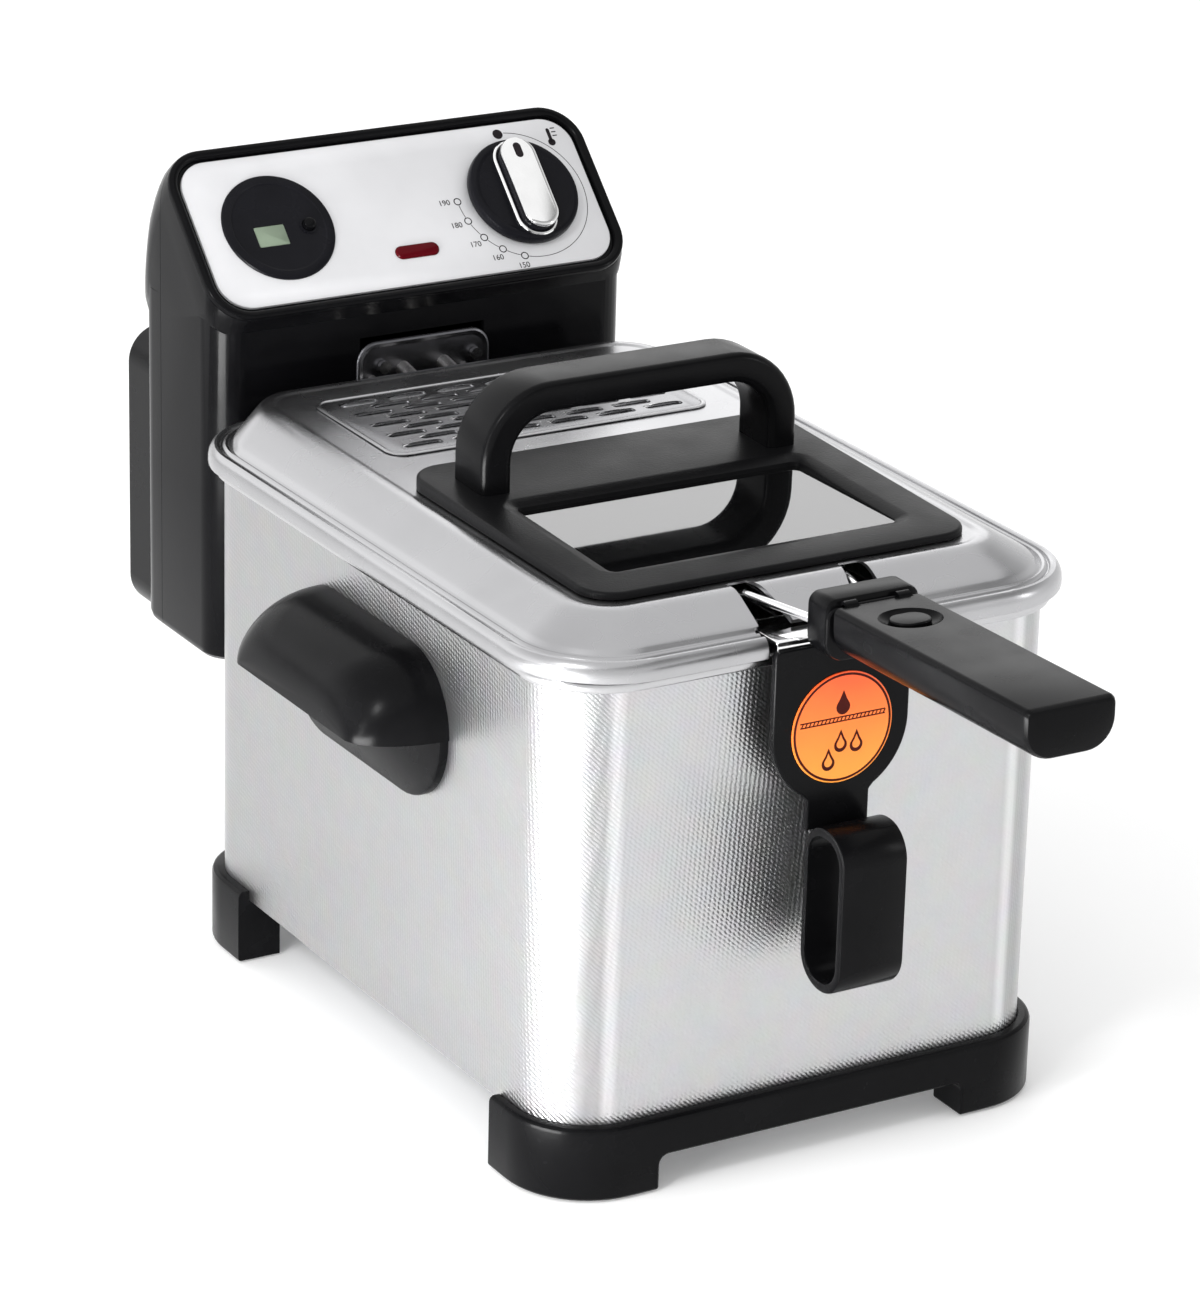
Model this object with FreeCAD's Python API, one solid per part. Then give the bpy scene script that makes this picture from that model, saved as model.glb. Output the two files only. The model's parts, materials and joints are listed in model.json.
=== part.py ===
import FreeCAD, Part
import math
import os

V = FreeCAD.Vector
X_AXIS, Y_AXIS, Z_AXIS = V(1, 0, 0), V(0, 1, 0), V(0, 0, 1)

# Semi-professional deep fryer, millimetres, +Z up, user in front at -Y.
# Everything is drawn about the centre of the steel casing's footprint and is
# shifted along Y on export, so that the origin is the middle of the whole object.

# Steel casing
CASE_W, CASE_D, CASE_R = 220.0, 295.0, 29.0
CASE_BOTTOM, CASE_TOP = 27.0, 202.5
SHEET = 1.0
CASE_FRONT, CASE_REAR = -CASE_D / 2, CASE_D / 2

# Oil bowl, a drawn steel pot whose rim lies over the casing's edge
BOWL_W, BOWL_D, BOWL_R = 200.0, 272.0, 36.0
BOWL_FLOOR = 60.0
RIM_OUT = 3.6
RIM_TOP = 208.0

# Lid
LID_W, LID_FRONT, LID_REAR, LID_R = 238.0, -156.7, 154.2, 42.0
FLANGE_BOTTOM, FLANGE_TOP = 208.4, 216.0
SLOPE_INSET = 9.0
PLATEAU_W, PLATEAU_FRONT, PLATEAU_REAR, PLATEAU_R = 184.0, -130.0, 143.0, 20.0
PLATEAU_Z, PLATEAU_DROP = 229.0, 2.5
LID_SHEET = 1.2
WINDOW_FRAME = (83.5, -121.0, 25.0)
GLASS_OPENING = (63.0, -98.0, -26.0)
FRAME_FRONT_Z, FRAME_REAR_Z = 229.2, 233.4
GRILLE = (71.0, 54.0, 122.0)
ARCH_X, ARCH_LEG, ARCH_TOP, ARCH_BAR = 70.5, 13.0, 273.5, 12.0
ARCH_Y0, ARCH_Y1 = -14.5, 10.0
NOTCH_X0, NOTCH_X1, NOTCH_Y = -36.0, 32.0, 141.0

# Frying basket and its folding handle
BASKET_TOP = (86.0, -122.0, 104.0, 196.0)
BASKET_FOOT = (78.0, -112.0, 94.0, 97.0)
BASKET_WALL = 1.6
WIRE_R = 1.75
WIRE_Z = 222.0
WIRE_REAR_X, WIRE_REAR_Y = 23.0, -121.0
WIRE_FRONT_X, WIRE_FRONT_Y = 11.5, -166.7
COLLAR_Y0, COLLAR_Y1 = -178.0, -164.0
GRIP_W, GRIP_TIP = 38.0, -301.5
GRIP_UNDER, GRIP_TOP, GRIP_RISE = 214.5, 234.0, math.radians(1.5)
FOLD_Y, FOLD_Z, FOLD_R = -178.6, 233.0, 2.6

# Oil filter tray with its strap over the front rim
TRAY_X, TRAY_Y0, TRAY_Y1, TRAY_Z0, TRAY_Z1 = 88.0, -128.0, 114.0, 80.0, 88.0
STRAP_X = 28.0
TAG_FACE, TAG_BACK = -160.0, -156.6
TAG_X, TAG_TOP, TAG_CENTRE_Z = 29.5, 212.0, 178.0
BADGE_R = 22.5
LOOP_X, LOOP_Y0, LOOP_Y1, LOOP_Z0, LOOP_Z1, LOOP_WALL = 14.0, -187.0, -156.6, 79.5, 144.5, 4.0

# Carrying handles
SIDE_Y, SIDE_Z0, SIDE_Z1, SIDE_R = 62.0, 125.5, 186.5, 30.0
SIDE_LIP_Z, SIDE_WALL = 157.0, 4.0
# Sections of the scoop: reach from the casing, half length, top height, corner radius
SIDE_SECTIONS = [(0.0, 62.0, 186.5, 30.0), (18.0, 59.0, 183.0, 27.0),
                 (30.0, 53.0, 175.0, 21.0), (35.0, 45.0, 167.0, 14.0)]

# Foot bars
BAR_X, BAR_FRONT, BAR_SIDE_END = 115.0, -153.0, -105.0
BAR_UNDER, BAR_TOP, FRONT_FOOT, REAR_FOOT = 15.0, 30.0, 47.0, 22.0
REAR_BAR_Y0, REAR_BAR_TOP = 103.0, 31.5
PAD_H, FOOT_BOTTOM = 2.0, 0.8
BASE_SHEET = 1.2
FOOT_SPOTS = [(side * x, y) for x, y in ((94, -128), (102, 126)) for side in (-1, 1)]

# Control head
HEAD_SHIFT = 1.6
HEAD_X, HEAD_WALL = 97.0, 2.6
BODY_Y0, BODY_Y1, BODY_Z0, BODY_Z1, BODY_R = 158.0, 230.0, 107.0, 252.0, 14.0
PANEL_Y, PANEL_Z, PANEL_LEAN = 183.2, 283.1, 44.0
PANEL_W, PANEL_H, PANEL_R = 184.0, 70.0, 14.0
RIM_W, RIM_H, RIM_R, RIM_N = 194.0, 80.0, 18.0, 2.0
PLATE_N0, PLATE_N1 = -0.7, 0.8
KNOB_X, TIMER_X, DIAL_R = 57.6, -56.0, 24.5
TIMER_KEY = (-42.9, -1.1, 2.75)
LAMP = (1.0, -19.3, 20.0, 6.0)
SHAFT_R, RUNNING_FIT = 3.0, 0.08
STORE_X, STORE_Y1, STORE_Z0, STORE_Z1 = 85.0, 264.0, 97.0, 222.0
GLAND_X, GLAND_Y, GLAND_BORE = -60.0, 212.0, 3.8
RESET_X, RESET_Y, RESET_R = 60.0, 194.0, 3.5

# Heating element and its mounting plate
ELEMENT_X, ELEMENT_R, LEG_GAP = -2.0, 3.25, 9.5
ELEMENT_Z, ELEMENT_BEND, LEG_Y = 71.5, 12.0, 131.0
PROBE_R = 1.9
SEAT_Z0, SEAT_Z1, SEAT_X = 150.0, 238.0, 31.0

# The grip is tipped up about its fold pin, so its lower front corner reaches furthest forward.
FRONT_REACH = (FOLD_Y + (GRIP_TIP - FOLD_Y) * math.cos(GRIP_RISE)
               - (FOLD_Z - GRIP_UNDER) * math.sin(GRIP_RISE))
PLATEAU_LEAN = math.degrees(math.atan(PLATEAU_DROP / (PLATEAU_REAR - PLATEAU_FRONT)))
ORIGIN_SHIFT = -(FRONT_REACH + STORE_Y1 + HEAD_SHIFT) / 2

os.makedirs("parts", exist_ok=True)


def save(node, *solids):
    """Write one node; the drawing frame is moved so that the origin is the object's centre."""
    shape = solids[0] if len(solids) == 1 else Part.makeCompound(list(solids))
    shape = shape.copy()
    shape.translate(V(0, ORIGIN_SHIFT, 0))
    for solid in shape.Solids:
        assert solid.isValid() and solid.Volume > 0, node
    shape.exportStep("parts/%s.step" % node)
    print("%-28s solids %2d  volume %9.0f mm3" % (node, len(shape.Solids), shape.Volume))


def box(x0, x1, y0, y1, z0, z1):
    return Part.makeBox(x1 - x0, y1 - y0, z1 - z0, V(x0, y0, z0))


def rod(radius, start, end):
    run = V(*end) - V(*start)
    return Part.makeCylinder(radius, run.Length, V(*start), run)


def outline(x0, x1, y0, y1, radius, z):
    """Closed rounded rectangle at height z."""
    corners = [(x1, y1, 0), (x0, y1, 90), (x0, y0, 180), (x1, y0, 270)]
    inward = {0: (-1, -1), 90: (1, -1), 180: (1, 1), 270: (-1, 1)}
    arcs = []
    for x, y, start in corners:
        dx, dy = inward[start]
        centre = V(x + dx * radius, y + dy * radius, z)
        arcs.append(Part.makeCircle(radius, centre, Z_AXIS, start, start + 90))
    edges = []
    for arc, following in zip(arcs, arcs[1:] + arcs[:1]):
        edges.append(arc)
        edges.append(Part.makeLine(arc.Vertexes[-1].Point, following.Vertexes[0].Point))
    return Part.Wire(edges)


def slab(x0, x1, y0, y1, radius, z0, z1):
    return Part.Face(outline(x0, x1, y0, y1, radius, z0)).extrude(V(0, 0, z1 - z0))


def ring(x0, x1, y0, y1, radius, wall, z0, z1):
    inner = slab(x0 + wall, x1 - wall, y0 + wall, y1 - wall, max(radius - wall, 0.5), z0 - 1, z1 + 1)
    return slab(x0, x1, y0, y1, radius, z0, z1).cut(inner)


def loft(*wires):
    return Part.makeLoft(list(wires), True, True)


def side_profile(points, x0, x1):
    """Prism along X from a closed (y, z) outline."""
    wire = Part.makePolygon([V(x0, y, z) for y, z in points + points[:1]])
    return Part.Face(wire).extrude(V(x1 - x0, 0, 0))


def join(*solids):
    return solids[0].multiFuse(list(solids[1:])).removeSplitter()


def mirrored(shape):
    return shape.mirror(V(0, 0, 0), X_AXIS)


def bent_tube(radius, points, bend):
    """Round tube along straight runs joined by tangent arcs of the bend radius."""
    points = [V(*p) for p in points]
    edges = []
    last = points[0]
    for before, corner, after in zip(points, points[1:], points[2:]):
        come = (corner - before).normalize()
        leave = (after - corner).normalize()
        half_turn = come.getAngle(leave) / 2
        setback = bend * math.tan(half_turn)
        first, second = corner - come * setback, corner + leave * setback
        inward = (leave - come).normalize()
        middle = corner + inward * (bend / math.cos(half_turn) - bend)
        edges.append(Part.makeLine(last, first))
        edges.append(Part.Arc(first, middle, second).toShape())
        last = second
    edges.append(Part.makeLine(last, points[-1]))
    section = Part.Wire(Part.makeCircle(radius, points[0], points[1] - points[0]))
    return Part.Wire(edges).makePipeShell([section], True, True)


def on_panel(shape):
    """Move a shape drawn with the panel's centre at the origin (+Y up the panel, +Z out of it)."""
    shape = shape.copy()
    shape.rotate(V(0, 0, 0), X_AXIS, PANEL_LEAN)
    shape.translate(V(0, PANEL_Y + HEAD_SHIFT, PANEL_Z))
    return shape


def on_head(shape):
    shape = shape.copy()
    shape.translate(V(0, HEAD_SHIFT, 0))
    return shape


# ------------------------------------------------------------------ casing, bars and handles

def make_casing():
    half = CASE_W / 2
    casing = ring(-half, half, CASE_FRONT, CASE_REAR, CASE_R, SHEET, CASE_BOTTOM, CASE_TOP)
    for side in (-1, 1):
        for y in (-45, 45):
            casing = casing.cut(rod(2, (side * (half - 3), y, 145), (side * (half + 3), y, 145)))
    save("outer_casing", casing)
    inner = SHEET + 0.1
    base = slab(-half + inner, half - inner, CASE_FRONT + inner, CASE_REAR - inner, CASE_R - inner,
                CASE_BOTTOM, CASE_BOTTOM + BASE_SHEET)
    for screw in foot_screws():
        base = base.cut(screw)
    save("base_plate", base)
    rails = [box(min(a, b), max(a, b), CASE_REAR, CASE_REAR + 9, 60, 195)
             for a, b in ((55, 62), (-55, -62))]
    save("head_guide_rails", *rails)


def foot_screws():
    """Screws through the base plate into the foot bars."""
    top = CASE_BOTTOM + BASE_SHEET
    return [join(rod(2, (x, y, 17), (x, y, top)), rod(4, (x, y, top), (x, y, top + 1.8)))
            for x, y in FOOT_SPOTS]


def make_foot_bars():
    half = CASE_W / 2
    outer_r = CASE_R + BAR_X - half
    skirt = slab(-BAR_X, BAR_X, BAR_FRONT, -BAR_FRONT, outer_r, BAR_UNDER, REAR_BAR_TOP)
    pocket = slab(-half, half, CASE_FRONT, CASE_REAR, CASE_R, CASE_BOTTOM, REAR_BAR_TOP + 1)
    middle = slab(-half + 14, half - 14, CASE_FRONT + 14, CASE_REAR - 14, 16, 0, REAR_BAR_TOP)
    whole = skirt.cut(pocket).cut(middle)
    feet = slab(-BAR_X, BAR_X, BAR_FRONT, -BAR_FRONT, outer_r, FOOT_BOTTOM, BAR_UNDER)
    feet = feet.cut(slab(-BAR_X + 34, BAR_X - 34, BAR_FRONT + 34, -BAR_FRONT - 34, 8, 0, BAR_UNDER + 1))
    for length, y0, y1 in ((FRONT_FOOT, -200, 0), (REAR_FOOT, 0, 200)):
        gap = BAR_X - length
        feet = feet.cut(box(-gap, gap, y0, y1, 0, BAR_UNDER + 1))
    whole = whole.fuse(feet).removeSplitter()
    front = whole.common(box(-200, 200, -200, BAR_SIDE_END, 0, BAR_TOP))
    rear = whole.common(box(-200, 200, REAR_BAR_Y0, 200, 0, REAR_BAR_TOP))
    pads = [rod(8, (x, y, 0), (x, y, PAD_H)) for x, y in FOOT_SPOTS]
    screws = foot_screws()
    for pad, screw in zip(pads, screws):
        front, rear = front.cut(pad).cut(screw), rear.cut(pad).cut(screw)
    save("front_foot_bar", front)
    save("rear_foot_bar", rear)
    save("foot_pads", *pads)
    save("foot_screws", *screws)


def side_turned(shape):
    """Turn a drawing whose (x, y, z) stands for the fryer's (y, z, x)."""
    shape.rotate(V(0, 0, 0), V(1, 1, 1), 120)
    return shape


def scoop(inset):
    """Domed hood on the right-hand wall, shrunk by inset."""
    wires = []
    for reach, half_length, top, radius in SIDE_SECTIONS:
        out = CASE_W / 2 + reach - (inset if reach else 0)
        half = half_length - inset
        wires.append(outline(-half, half, SIDE_Z0 + inset, top - inset, radius - inset * 0.8, out))
    return side_turned(loft(*wires))


def make_side_handles():
    half = CASE_W / 2
    plate = slab(-SIDE_Y, SIDE_Y, SIDE_Z0, SIDE_Z1, SIDE_R, half, half + SIDE_WALL)
    room = scoop(SIDE_WALL).cut(box(0, half + SIDE_WALL, -99, 99, 0, 300))
    shell = scoop(0).cut(room).cut(box(half + SIDE_WALL, 200, -99, 99, 0, SIDE_LIP_Z))
    handle = shell.fuse(side_turned(plate)).removeSplitter()
    screws = [join(rod(2, (half - SHEET, y, 145), (half + 3, y, 145)),
                   rod(3.6, (half - SHEET - 2, y, 145), (half - SHEET, y, 145))) for y in (-45, 45)]
    for screw in screws:
        handle = handle.cut(screw)
    save("right_side_handle", handle)
    save("left_side_handle", mirrored(handle))
    save("side_handle_screws", *(screws + [mirrored(screw) for screw in screws]))


# ------------------------------------------------------------------ bowl and filter tray

def make_bowl():
    x, y = BOWL_W / 2, BOWL_D / 2
    pot = slab(-x, x, -y, y, BOWL_R, BOWL_FLOOR, RIM_TOP)
    hollow = slab(-x + SHEET, x - SHEET, -y + SHEET, y - SHEET, BOWL_R - SHEET,
                  BOWL_FLOOR + SHEET, RIM_TOP + 1)
    out_x, out_y = CASE_W / 2 + RIM_OUT, CASE_D / 2 + RIM_OUT
    flange = slab(-out_x, out_x, -out_y, out_y, CASE_R + RIM_OUT, RIM_TOP - SHEET, RIM_TOP)
    bead = ring(-out_x, out_x, -out_y, out_y, CASE_R + RIM_OUT, 2.2, RIM_TOP - 5, RIM_TOP)
    save("oil_bowl", join(pot, flange, bead).cut(hollow))


def make_filter_tray():
    frame = ring(-TRAY_X, TRAY_X, TRAY_Y0, TRAY_Y1, 26, 7, TRAY_Z0, TRAY_Z1)
    ledge = ring(-TRAY_X + 6, TRAY_X - 6, TRAY_Y0 + 6, TRAY_Y1 - 6, 20, 4, TRAY_Z0, TRAY_Z0 + 2)
    mesh = slab(-TRAY_X + 8, TRAY_X - 8, TRAY_Y0 + 8, TRAY_Y1 - 8, 18, TRAY_Z0 + 2, TRAY_Z0 + 3)
    inside_y, top = -BOWL_D / 2 + SHEET + 1.5, RIM_TOP + 7
    strap = join(box(-STRAP_X, STRAP_X, inside_y, inside_y + 1.5, TRAY_Z0, top),
                 box(-STRAP_X, STRAP_X, TAG_FACE + 1.9, inside_y + 1.5, top - 1.5, top),
                 box(-STRAP_X, STRAP_X, TAG_FACE + 1.9, TAG_FACE + 3.4, TAG_TOP - 6, top),
                 box(-STRAP_X, STRAP_X, inside_y, TRAY_Y0 + 1, TRAY_Z0, TRAY_Z0 + 1.5))
    save("filter_tray_mesh", mesh)
    save("filter_tray_frame", join(frame, ledge).cut(strap))
    plate = disc_plate()
    badge = rod(BADGE_R, (0, TAG_FACE - 0.6, TAG_CENTRE_Z), (0, TAG_FACE, TAG_CENTRE_Z))
    save("filter_strap", strap)
    save("filter_tag_plate", plate.cut(strap))
    save("filter_badge", badge)
    loop = ring(LOOP_Y0, LOOP_Y1, LOOP_Z0, LOOP_Z1, 13, LOOP_WALL, -LOOP_X, LOOP_X)
    save("filter_loop_handle", side_turned(loop).cut(plate))


def disc_plate():
    """Tag that hangs in front of the casing: square above, round below, with a neck."""
    depth = TAG_BACK - TAG_FACE
    disc = rod(TAG_X, (0, TAG_FACE, TAG_CENTRE_Z), (0, TAG_BACK, TAG_CENTRE_Z))
    upper = Part.makeBox(2 * TAG_X, depth, TAG_TOP - TAG_CENTRE_Z, V(-TAG_X, TAG_FACE, TAG_CENTRE_Z))
    neck = Part.makeBox(27, depth, 30, V(-13.5, TAG_FACE, LOOP_Z1 - 6))
    return join(disc, upper, neck)


# ------------------------------------------------------------------ basket

def make_basket():
    tx, ty0, ty1, tz = BASKET_TOP
    fx, fy0, fy1, fz = BASKET_FOOT
    wall = BASKET_WALL
    outer = loft(outline(-fx, fx, fy0, fy1, 16, fz), outline(-tx, tx, ty0, ty1, 20, tz))
    inner = loft(outline(-fx + wall, fx - wall, fy0 + wall, fy1 - wall, 16 - wall, fz + wall),
                 outline(-tx + wall, tx - wall, ty0 + wall, ty1 - wall, 20 - wall, tz + 0.1))
    save("basket_mesh", outer.cut(inner))
    save("basket_rim", ring(-tx - 1, tx + 1, ty0 - 1, ty1 + 1, 21, 4, tz + 0.1, tz + 3.6))
    arms = []
    for side in (-1, 1):
        arm = bent_tube(WIRE_R, [(side * WIRE_REAR_X, WIRE_REAR_Y - 0.2, tz + 3.6),
                                 (side * WIRE_REAR_X, WIRE_REAR_Y, WIRE_Z),
                                 (side * WIRE_FRONT_X, WIRE_FRONT_Y, WIRE_Z)], 4.0)
        arms.append(arm)
    save("basket_handle_wires", *arms)
    collar = slab(-GRIP_W / 2 - 1, GRIP_W / 2 + 1, COLLAR_Y0, COLLAR_Y1, 3, 212, 233)
    flange = slab(-GRIP_W / 2 - 1, GRIP_W / 2 + 1, COLLAR_Y0 + 1.4, COLLAR_Y1, 3, 225, 236)
    knuckle_room = rod(FOLD_R + 0.4, (-8.4, FOLD_Y, FOLD_Z), (8.4, FOLD_Y, FOLD_Z))
    ears = [rod(FOLD_R, (side * 8.6, FOLD_Y, FOLD_Z), (side * 14, FOLD_Y, FOLD_Z)) for side in (-1, 1)]
    webs = [box(min(a, b), max(a, b), FOLD_Y, COLLAR_Y0 + 3, FOLD_Z - 6, FOLD_Z + FOLD_R)
            for a, b in ((8.6, 14), (-8.6, -14))]
    pin = rod(1.2, (-14, FOLD_Y, FOLD_Z), (14, FOLD_Y, FOLD_Z))
    collar = join(collar, flange, *ears, *webs).cut(knuckle_room).cut(pin)
    for arm in arms:
        collar = collar.cut(arm)
    save("handle_collar", collar)
    save("handle_fold_pin", pin)


def make_grip():
    """Handle grip, drawn level and then tipped up a little about the fold pin."""
    root = COLLAR_Y0 - 0.8
    length = root - GRIP_TIP
    half, z0, z1 = GRIP_W / 2, GRIP_UNDER, GRIP_TOP
    body = box(-half, half, root - length, root, z0, z1)
    long_edges = [edge for edge in body.Edges if edge.BoundBox.YLength > 90]
    lower = [edge for edge in long_edges if edge.BoundBox.ZMax < z0 + 1]
    upper = [edge for edge in long_edges if edge.BoundBox.ZMin > z1 - 1]
    body = body.makeFillet(8.0, lower)
    upper = [edge for edge in body.Edges if edge.BoundBox.YLength > 90
             and edge.BoundBox.ZMin > z1 - 0.1 and abs(edge.BoundBox.Center.x) > half - 1]
    body = body.makeFillet(2.2, upper)
    tip = [edge for edge in body.Edges if edge.BoundBox.YMax < root - length + 0.1]
    body = body.makeFillet(1.2, tip)
    for side in (-1, 1):
        slot = rod(FOLD_R + 0.4, (side * 8.2, FOLD_Y, FOLD_Z), (side * 14.4, FOLD_Y, FOLD_Z))
        body = body.cut(slot)
        a, b = sorted((side * 8.2, side * 14.4))
        body = body.cut(box(a, b, FOLD_Y - FOLD_R - 0.4, root + 1, FOLD_Z - 7, 240))
    knuckle = rod(FOLD_R, (-8.0, FOLD_Y, FOLD_Z), (8.0, FOLD_Y, FOLD_Z))
    body = join(body, knuckle)
    body = body.cut(rod(1.2 + RUNNING_FIT, (-9, FOLD_Y, FOLD_Z), (9, FOLD_Y, FOLD_Z)))
    button_y = root - 22
    well = slab(-8.2, 8.2, button_y - 6.2, button_y + 6.2, 6.1, 228.0, 236.0)
    button = slab(-8.0, 8.0, button_y - 6.0, button_y + 6.0, 5.9, 230.6, 235.2)
    body = body.cut(well)
    for shape in (body, button):
        shape.rotate(V(0, FOLD_Y, FOLD_Z), X_AXIS, -math.degrees(GRIP_RISE))
    save("basket_handle_grip", body)
    save("handle_release_button", button)


# ------------------------------------------------------------------ lid

def lid_form(grow, z_drop):
    """Lid's outer shape without its flange lip, offset inward by -grow and lowered by z_drop."""
    half = LID_W / 2 - SLOPE_INSET + grow
    front, rear = LID_FRONT + SLOPE_INSET - grow, LID_REAR - SLOPE_INSET + grow
    low = outline(-half, half, front, rear, LID_R - SLOPE_INSET + grow, FLANGE_TOP - z_drop)
    px = PLATEAU_W / 2 + grow
    high = outline(-px, px, PLATEAU_FRONT - grow, PLATEAU_REAR + grow, PLATEAU_R + grow,
                   PLATEAU_Z - z_drop)
    high.rotate(V(0, PLATEAU_REAR, PLATEAU_Z), X_AXIS, PLATEAU_LEAN)
    return loft(low, high)


def plateau_height(y):
    """Height of the lid's flat top, which falls a little towards the front."""
    return PLATEAU_Z - (PLATEAU_REAR - y) * math.tan(math.radians(PLATEAU_LEAN))


def leaned(shape):
    """Lay a piece drawn for a level lid top on the real, leaning one."""
    shape = shape.copy()
    shape.rotate(V(0, PLATEAU_REAR, PLATEAU_Z), X_AXIS, PLATEAU_LEAN)
    return shape


def wire_slot(side):
    """Slot in the lid's front slope for one handle wire, open at its lower end."""
    points = [(20.0, -122.5), (29.0, -122.5), (28.6, -160.0), (10.6, -160.0), (13.8, -147.0),
              (17.2, -134.0)]
    wire = Part.makePolygon([V(side * x, y, 205) for x, y in points + points[:1]])
    return Part.Face(wire).extrude(V(0, 0, 30))


def make_lid():
    half = LID_W / 2
    flange = slab(-half, half, LID_FRONT, LID_REAR, LID_R, FLANGE_BOTTOM, FLANGE_TOP)
    room = slab(-half + LID_SHEET, half - LID_SHEET, LID_FRONT + LID_SHEET, LID_REAR - LID_SHEET,
                LID_R - LID_SHEET, FLANGE_BOTTOM - 1, FLANGE_TOP - LID_SHEET)
    inside = lid_form(-LID_SHEET, LID_SHEET)
    inside_foot = slab(-half + SLOPE_INSET + LID_SHEET, half - SLOPE_INSET - LID_SHEET,
                       LID_FRONT + SLOPE_INSET + LID_SHEET, LID_REAR - SLOPE_INSET - LID_SHEET,
                       LID_R - SLOPE_INSET - LID_SHEET, FLANGE_BOTTOM - 1, FLANGE_TOP)
    shell = join(flange, lid_form(0, 0)).cut(room).cut(inside).cut(inside_foot)
    gx, gy0, gy1 = GLASS_OPENING
    shell = shell.cut(leaned(slab(-gx - 5, gx + 5, gy0 - 5, gy1 + 5, 6, 200, 240)))
    rx, ry0, ry1 = GRILLE
    shell = shell.cut(leaned(slab(-rx + 5, rx - 5, ry0 + 5, ry1 - 5, 5, 200, 240)))
    shell = shell.cut(leaned(slab(-rx, rx, ry0, ry1, 6, PLATEAU_Z - 0.6, 240)))
    shell = shell.cut(box(-30.8, 30.8, -200, -145.0, 200, 217.4))
    shell = shell.cut(box(NOTCH_X0, NOTCH_X1, NOTCH_Y, 200, 200, PLATEAU_Z - LID_SHEET))
    shell = shell.cut(box(NOTCH_X0, NOTCH_X1, PLATEAU_REAR + 0.2, 200, 200, 240))
    for side in (-1, 1):
        shell = shell.cut(wire_slot(side))
    ribs = [box(min(a, b), max(a, b), -80, 80, 200, FLANGE_TOP) for a, b in ((95, 96.2), (-95, -96.2))]
    bridges = [box(min(a, b), max(a, b), -80, 80, FLANGE_TOP - LID_SHEET, FLANGE_TOP)
               for a, b in ((95, 111), (-95, -111))]
    shell = join(shell, *ribs, *bridges)
    middle = ARCH_X - ARCH_LEG / 2
    screws = [leaned(join(rod(1.8, (x, y, PLATEAU_Z - 2.2), (x, y, FRAME_REAR_Z + 6)),
                          rod(3.4, (x, y, PLATEAU_Z - 4), (x, y, PLATEAU_Z - LID_SHEET))))
              for x in (-middle, middle) for y in (-8, 4)]
    frame = make_window(screws)
    handle = make_arch(screws)
    for screw in screws:
        shell = shell.cut(screw)
    save("lid_shell", shell)
    save("window_frame", frame)
    save("lid_handle", handle)
    save("lid_handle_screws", *screws)
    make_grille()


def above_frame():
    """Everything over the window frame's sloping top."""
    y0, y1 = WINDOW_FRAME[1] - 10, WINDOW_FRAME[2] + 10
    climb = (FRAME_REAR_Z - FRAME_FRONT_Z) / (WINDOW_FRAME[2] - WINDOW_FRAME[1])
    return side_profile([(y0, FRAME_FRONT_Z - 10 * climb), (y0, 320), (y1, 320),
                         (y1, FRAME_REAR_Z + 10 * climb)], -120, 120)


def make_window(screws):
    fx, fy0, fy1 = WINDOW_FRAME
    gx, gy0, gy1 = GLASS_OPENING
    frame = slab(-fx, fx, fy0, fy1, 14, PLATEAU_Z - 8, FRAME_REAR_Z + 5)
    frame = frame.cut(lid_form(0, 0)).cut(above_frame())
    frame = frame.cut(slab(-gx, gx, gy0, gy1, 3, PLATEAU_Z - 9, FRAME_REAR_Z + 9))
    glass = leaned(slab(-gx - 3, gx + 3, gy0 - 3, gy1 + 3, 4.8, PLATEAU_Z - 2.7, PLATEAU_Z + 0.9))
    gasket = leaned(ring(-gx - 5, gx + 5, gy0 - 5, gy1 + 5, 6, 1.9, PLATEAU_Z - 2.7, PLATEAU_Z))
    frame = frame.cut(glass)
    for screw in screws:
        frame = frame.cut(screw)
    save("window_glass", glass)
    save("window_gasket", gasket)
    return frame


def make_arch(screws):
    x, top, leg, bar = ARCH_X, ARCH_TOP, ARCH_LEG, ARCH_BAR
    foot = FRAME_FRONT_Z
    outer = turn_front(-x, x, foot - 60, top, 30, ARCH_Y0, ARCH_Y1)
    inner = turn_front(-x + leg, x - leg, foot - 60, top - bar, 18, ARCH_Y0 - 1, ARCH_Y1 + 1)
    arch = outer.cut(inner).common(above_frame())
    for screw in screws:
        arch = arch.cut(screw)
    return arch


def turn_front(x0, x1, z0, z1, radius, y0, y1):
    """Rounded slab whose outline is seen from the front."""
    flat = slab(x0, x1, z0, z1, radius, -y1, -y0)
    flat.rotate(V(0, 0, 0), X_AXIS, 90)
    return flat


def make_grille():
    rx, ry0, ry1 = GRILLE
    plate = slab(-rx, rx, ry0, ry1, 6, PLATEAU_Z - 0.6, PLATEAU_Z + 0.4)
    slot_l, slot_w, rows, per_row = 17.0, 3.2, 9, 6
    row_pitch = (ry1 - ry0 - 14) / (rows - 1)
    for row in range(rows):
        y = ry0 + 7 + row * row_pitch
        offset = 0 if row % 2 == 0 else 11
        slots = [slab(x - slot_l / 2, x + slot_l / 2, y - slot_w / 2, y + slot_w / 2, 1.55, 220, 240)
                 for x in (-55 + 22 * i + offset for i in range(per_row - row % 2))]
        plate = plate.cut(Part.makeCompound(slots))
    filling = slab(-rx + 6, rx - 6, ry0 + 6, ry1 - 6, 4, PLATEAU_Z - 7, PLATEAU_Z - 0.8)
    holder = ring(-rx + 4, rx - 4, ry0 + 4, ry1 - 4, 5, 1.9, PLATEAU_Z - 8, PLATEAU_Z - LID_SHEET)
    save("filter_grille", leaned(plate))
    save("odour_filter_mesh", leaned(filling))
    save("filter_holder", leaned(holder))


# ------------------------------------------------------------------ control head

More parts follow.
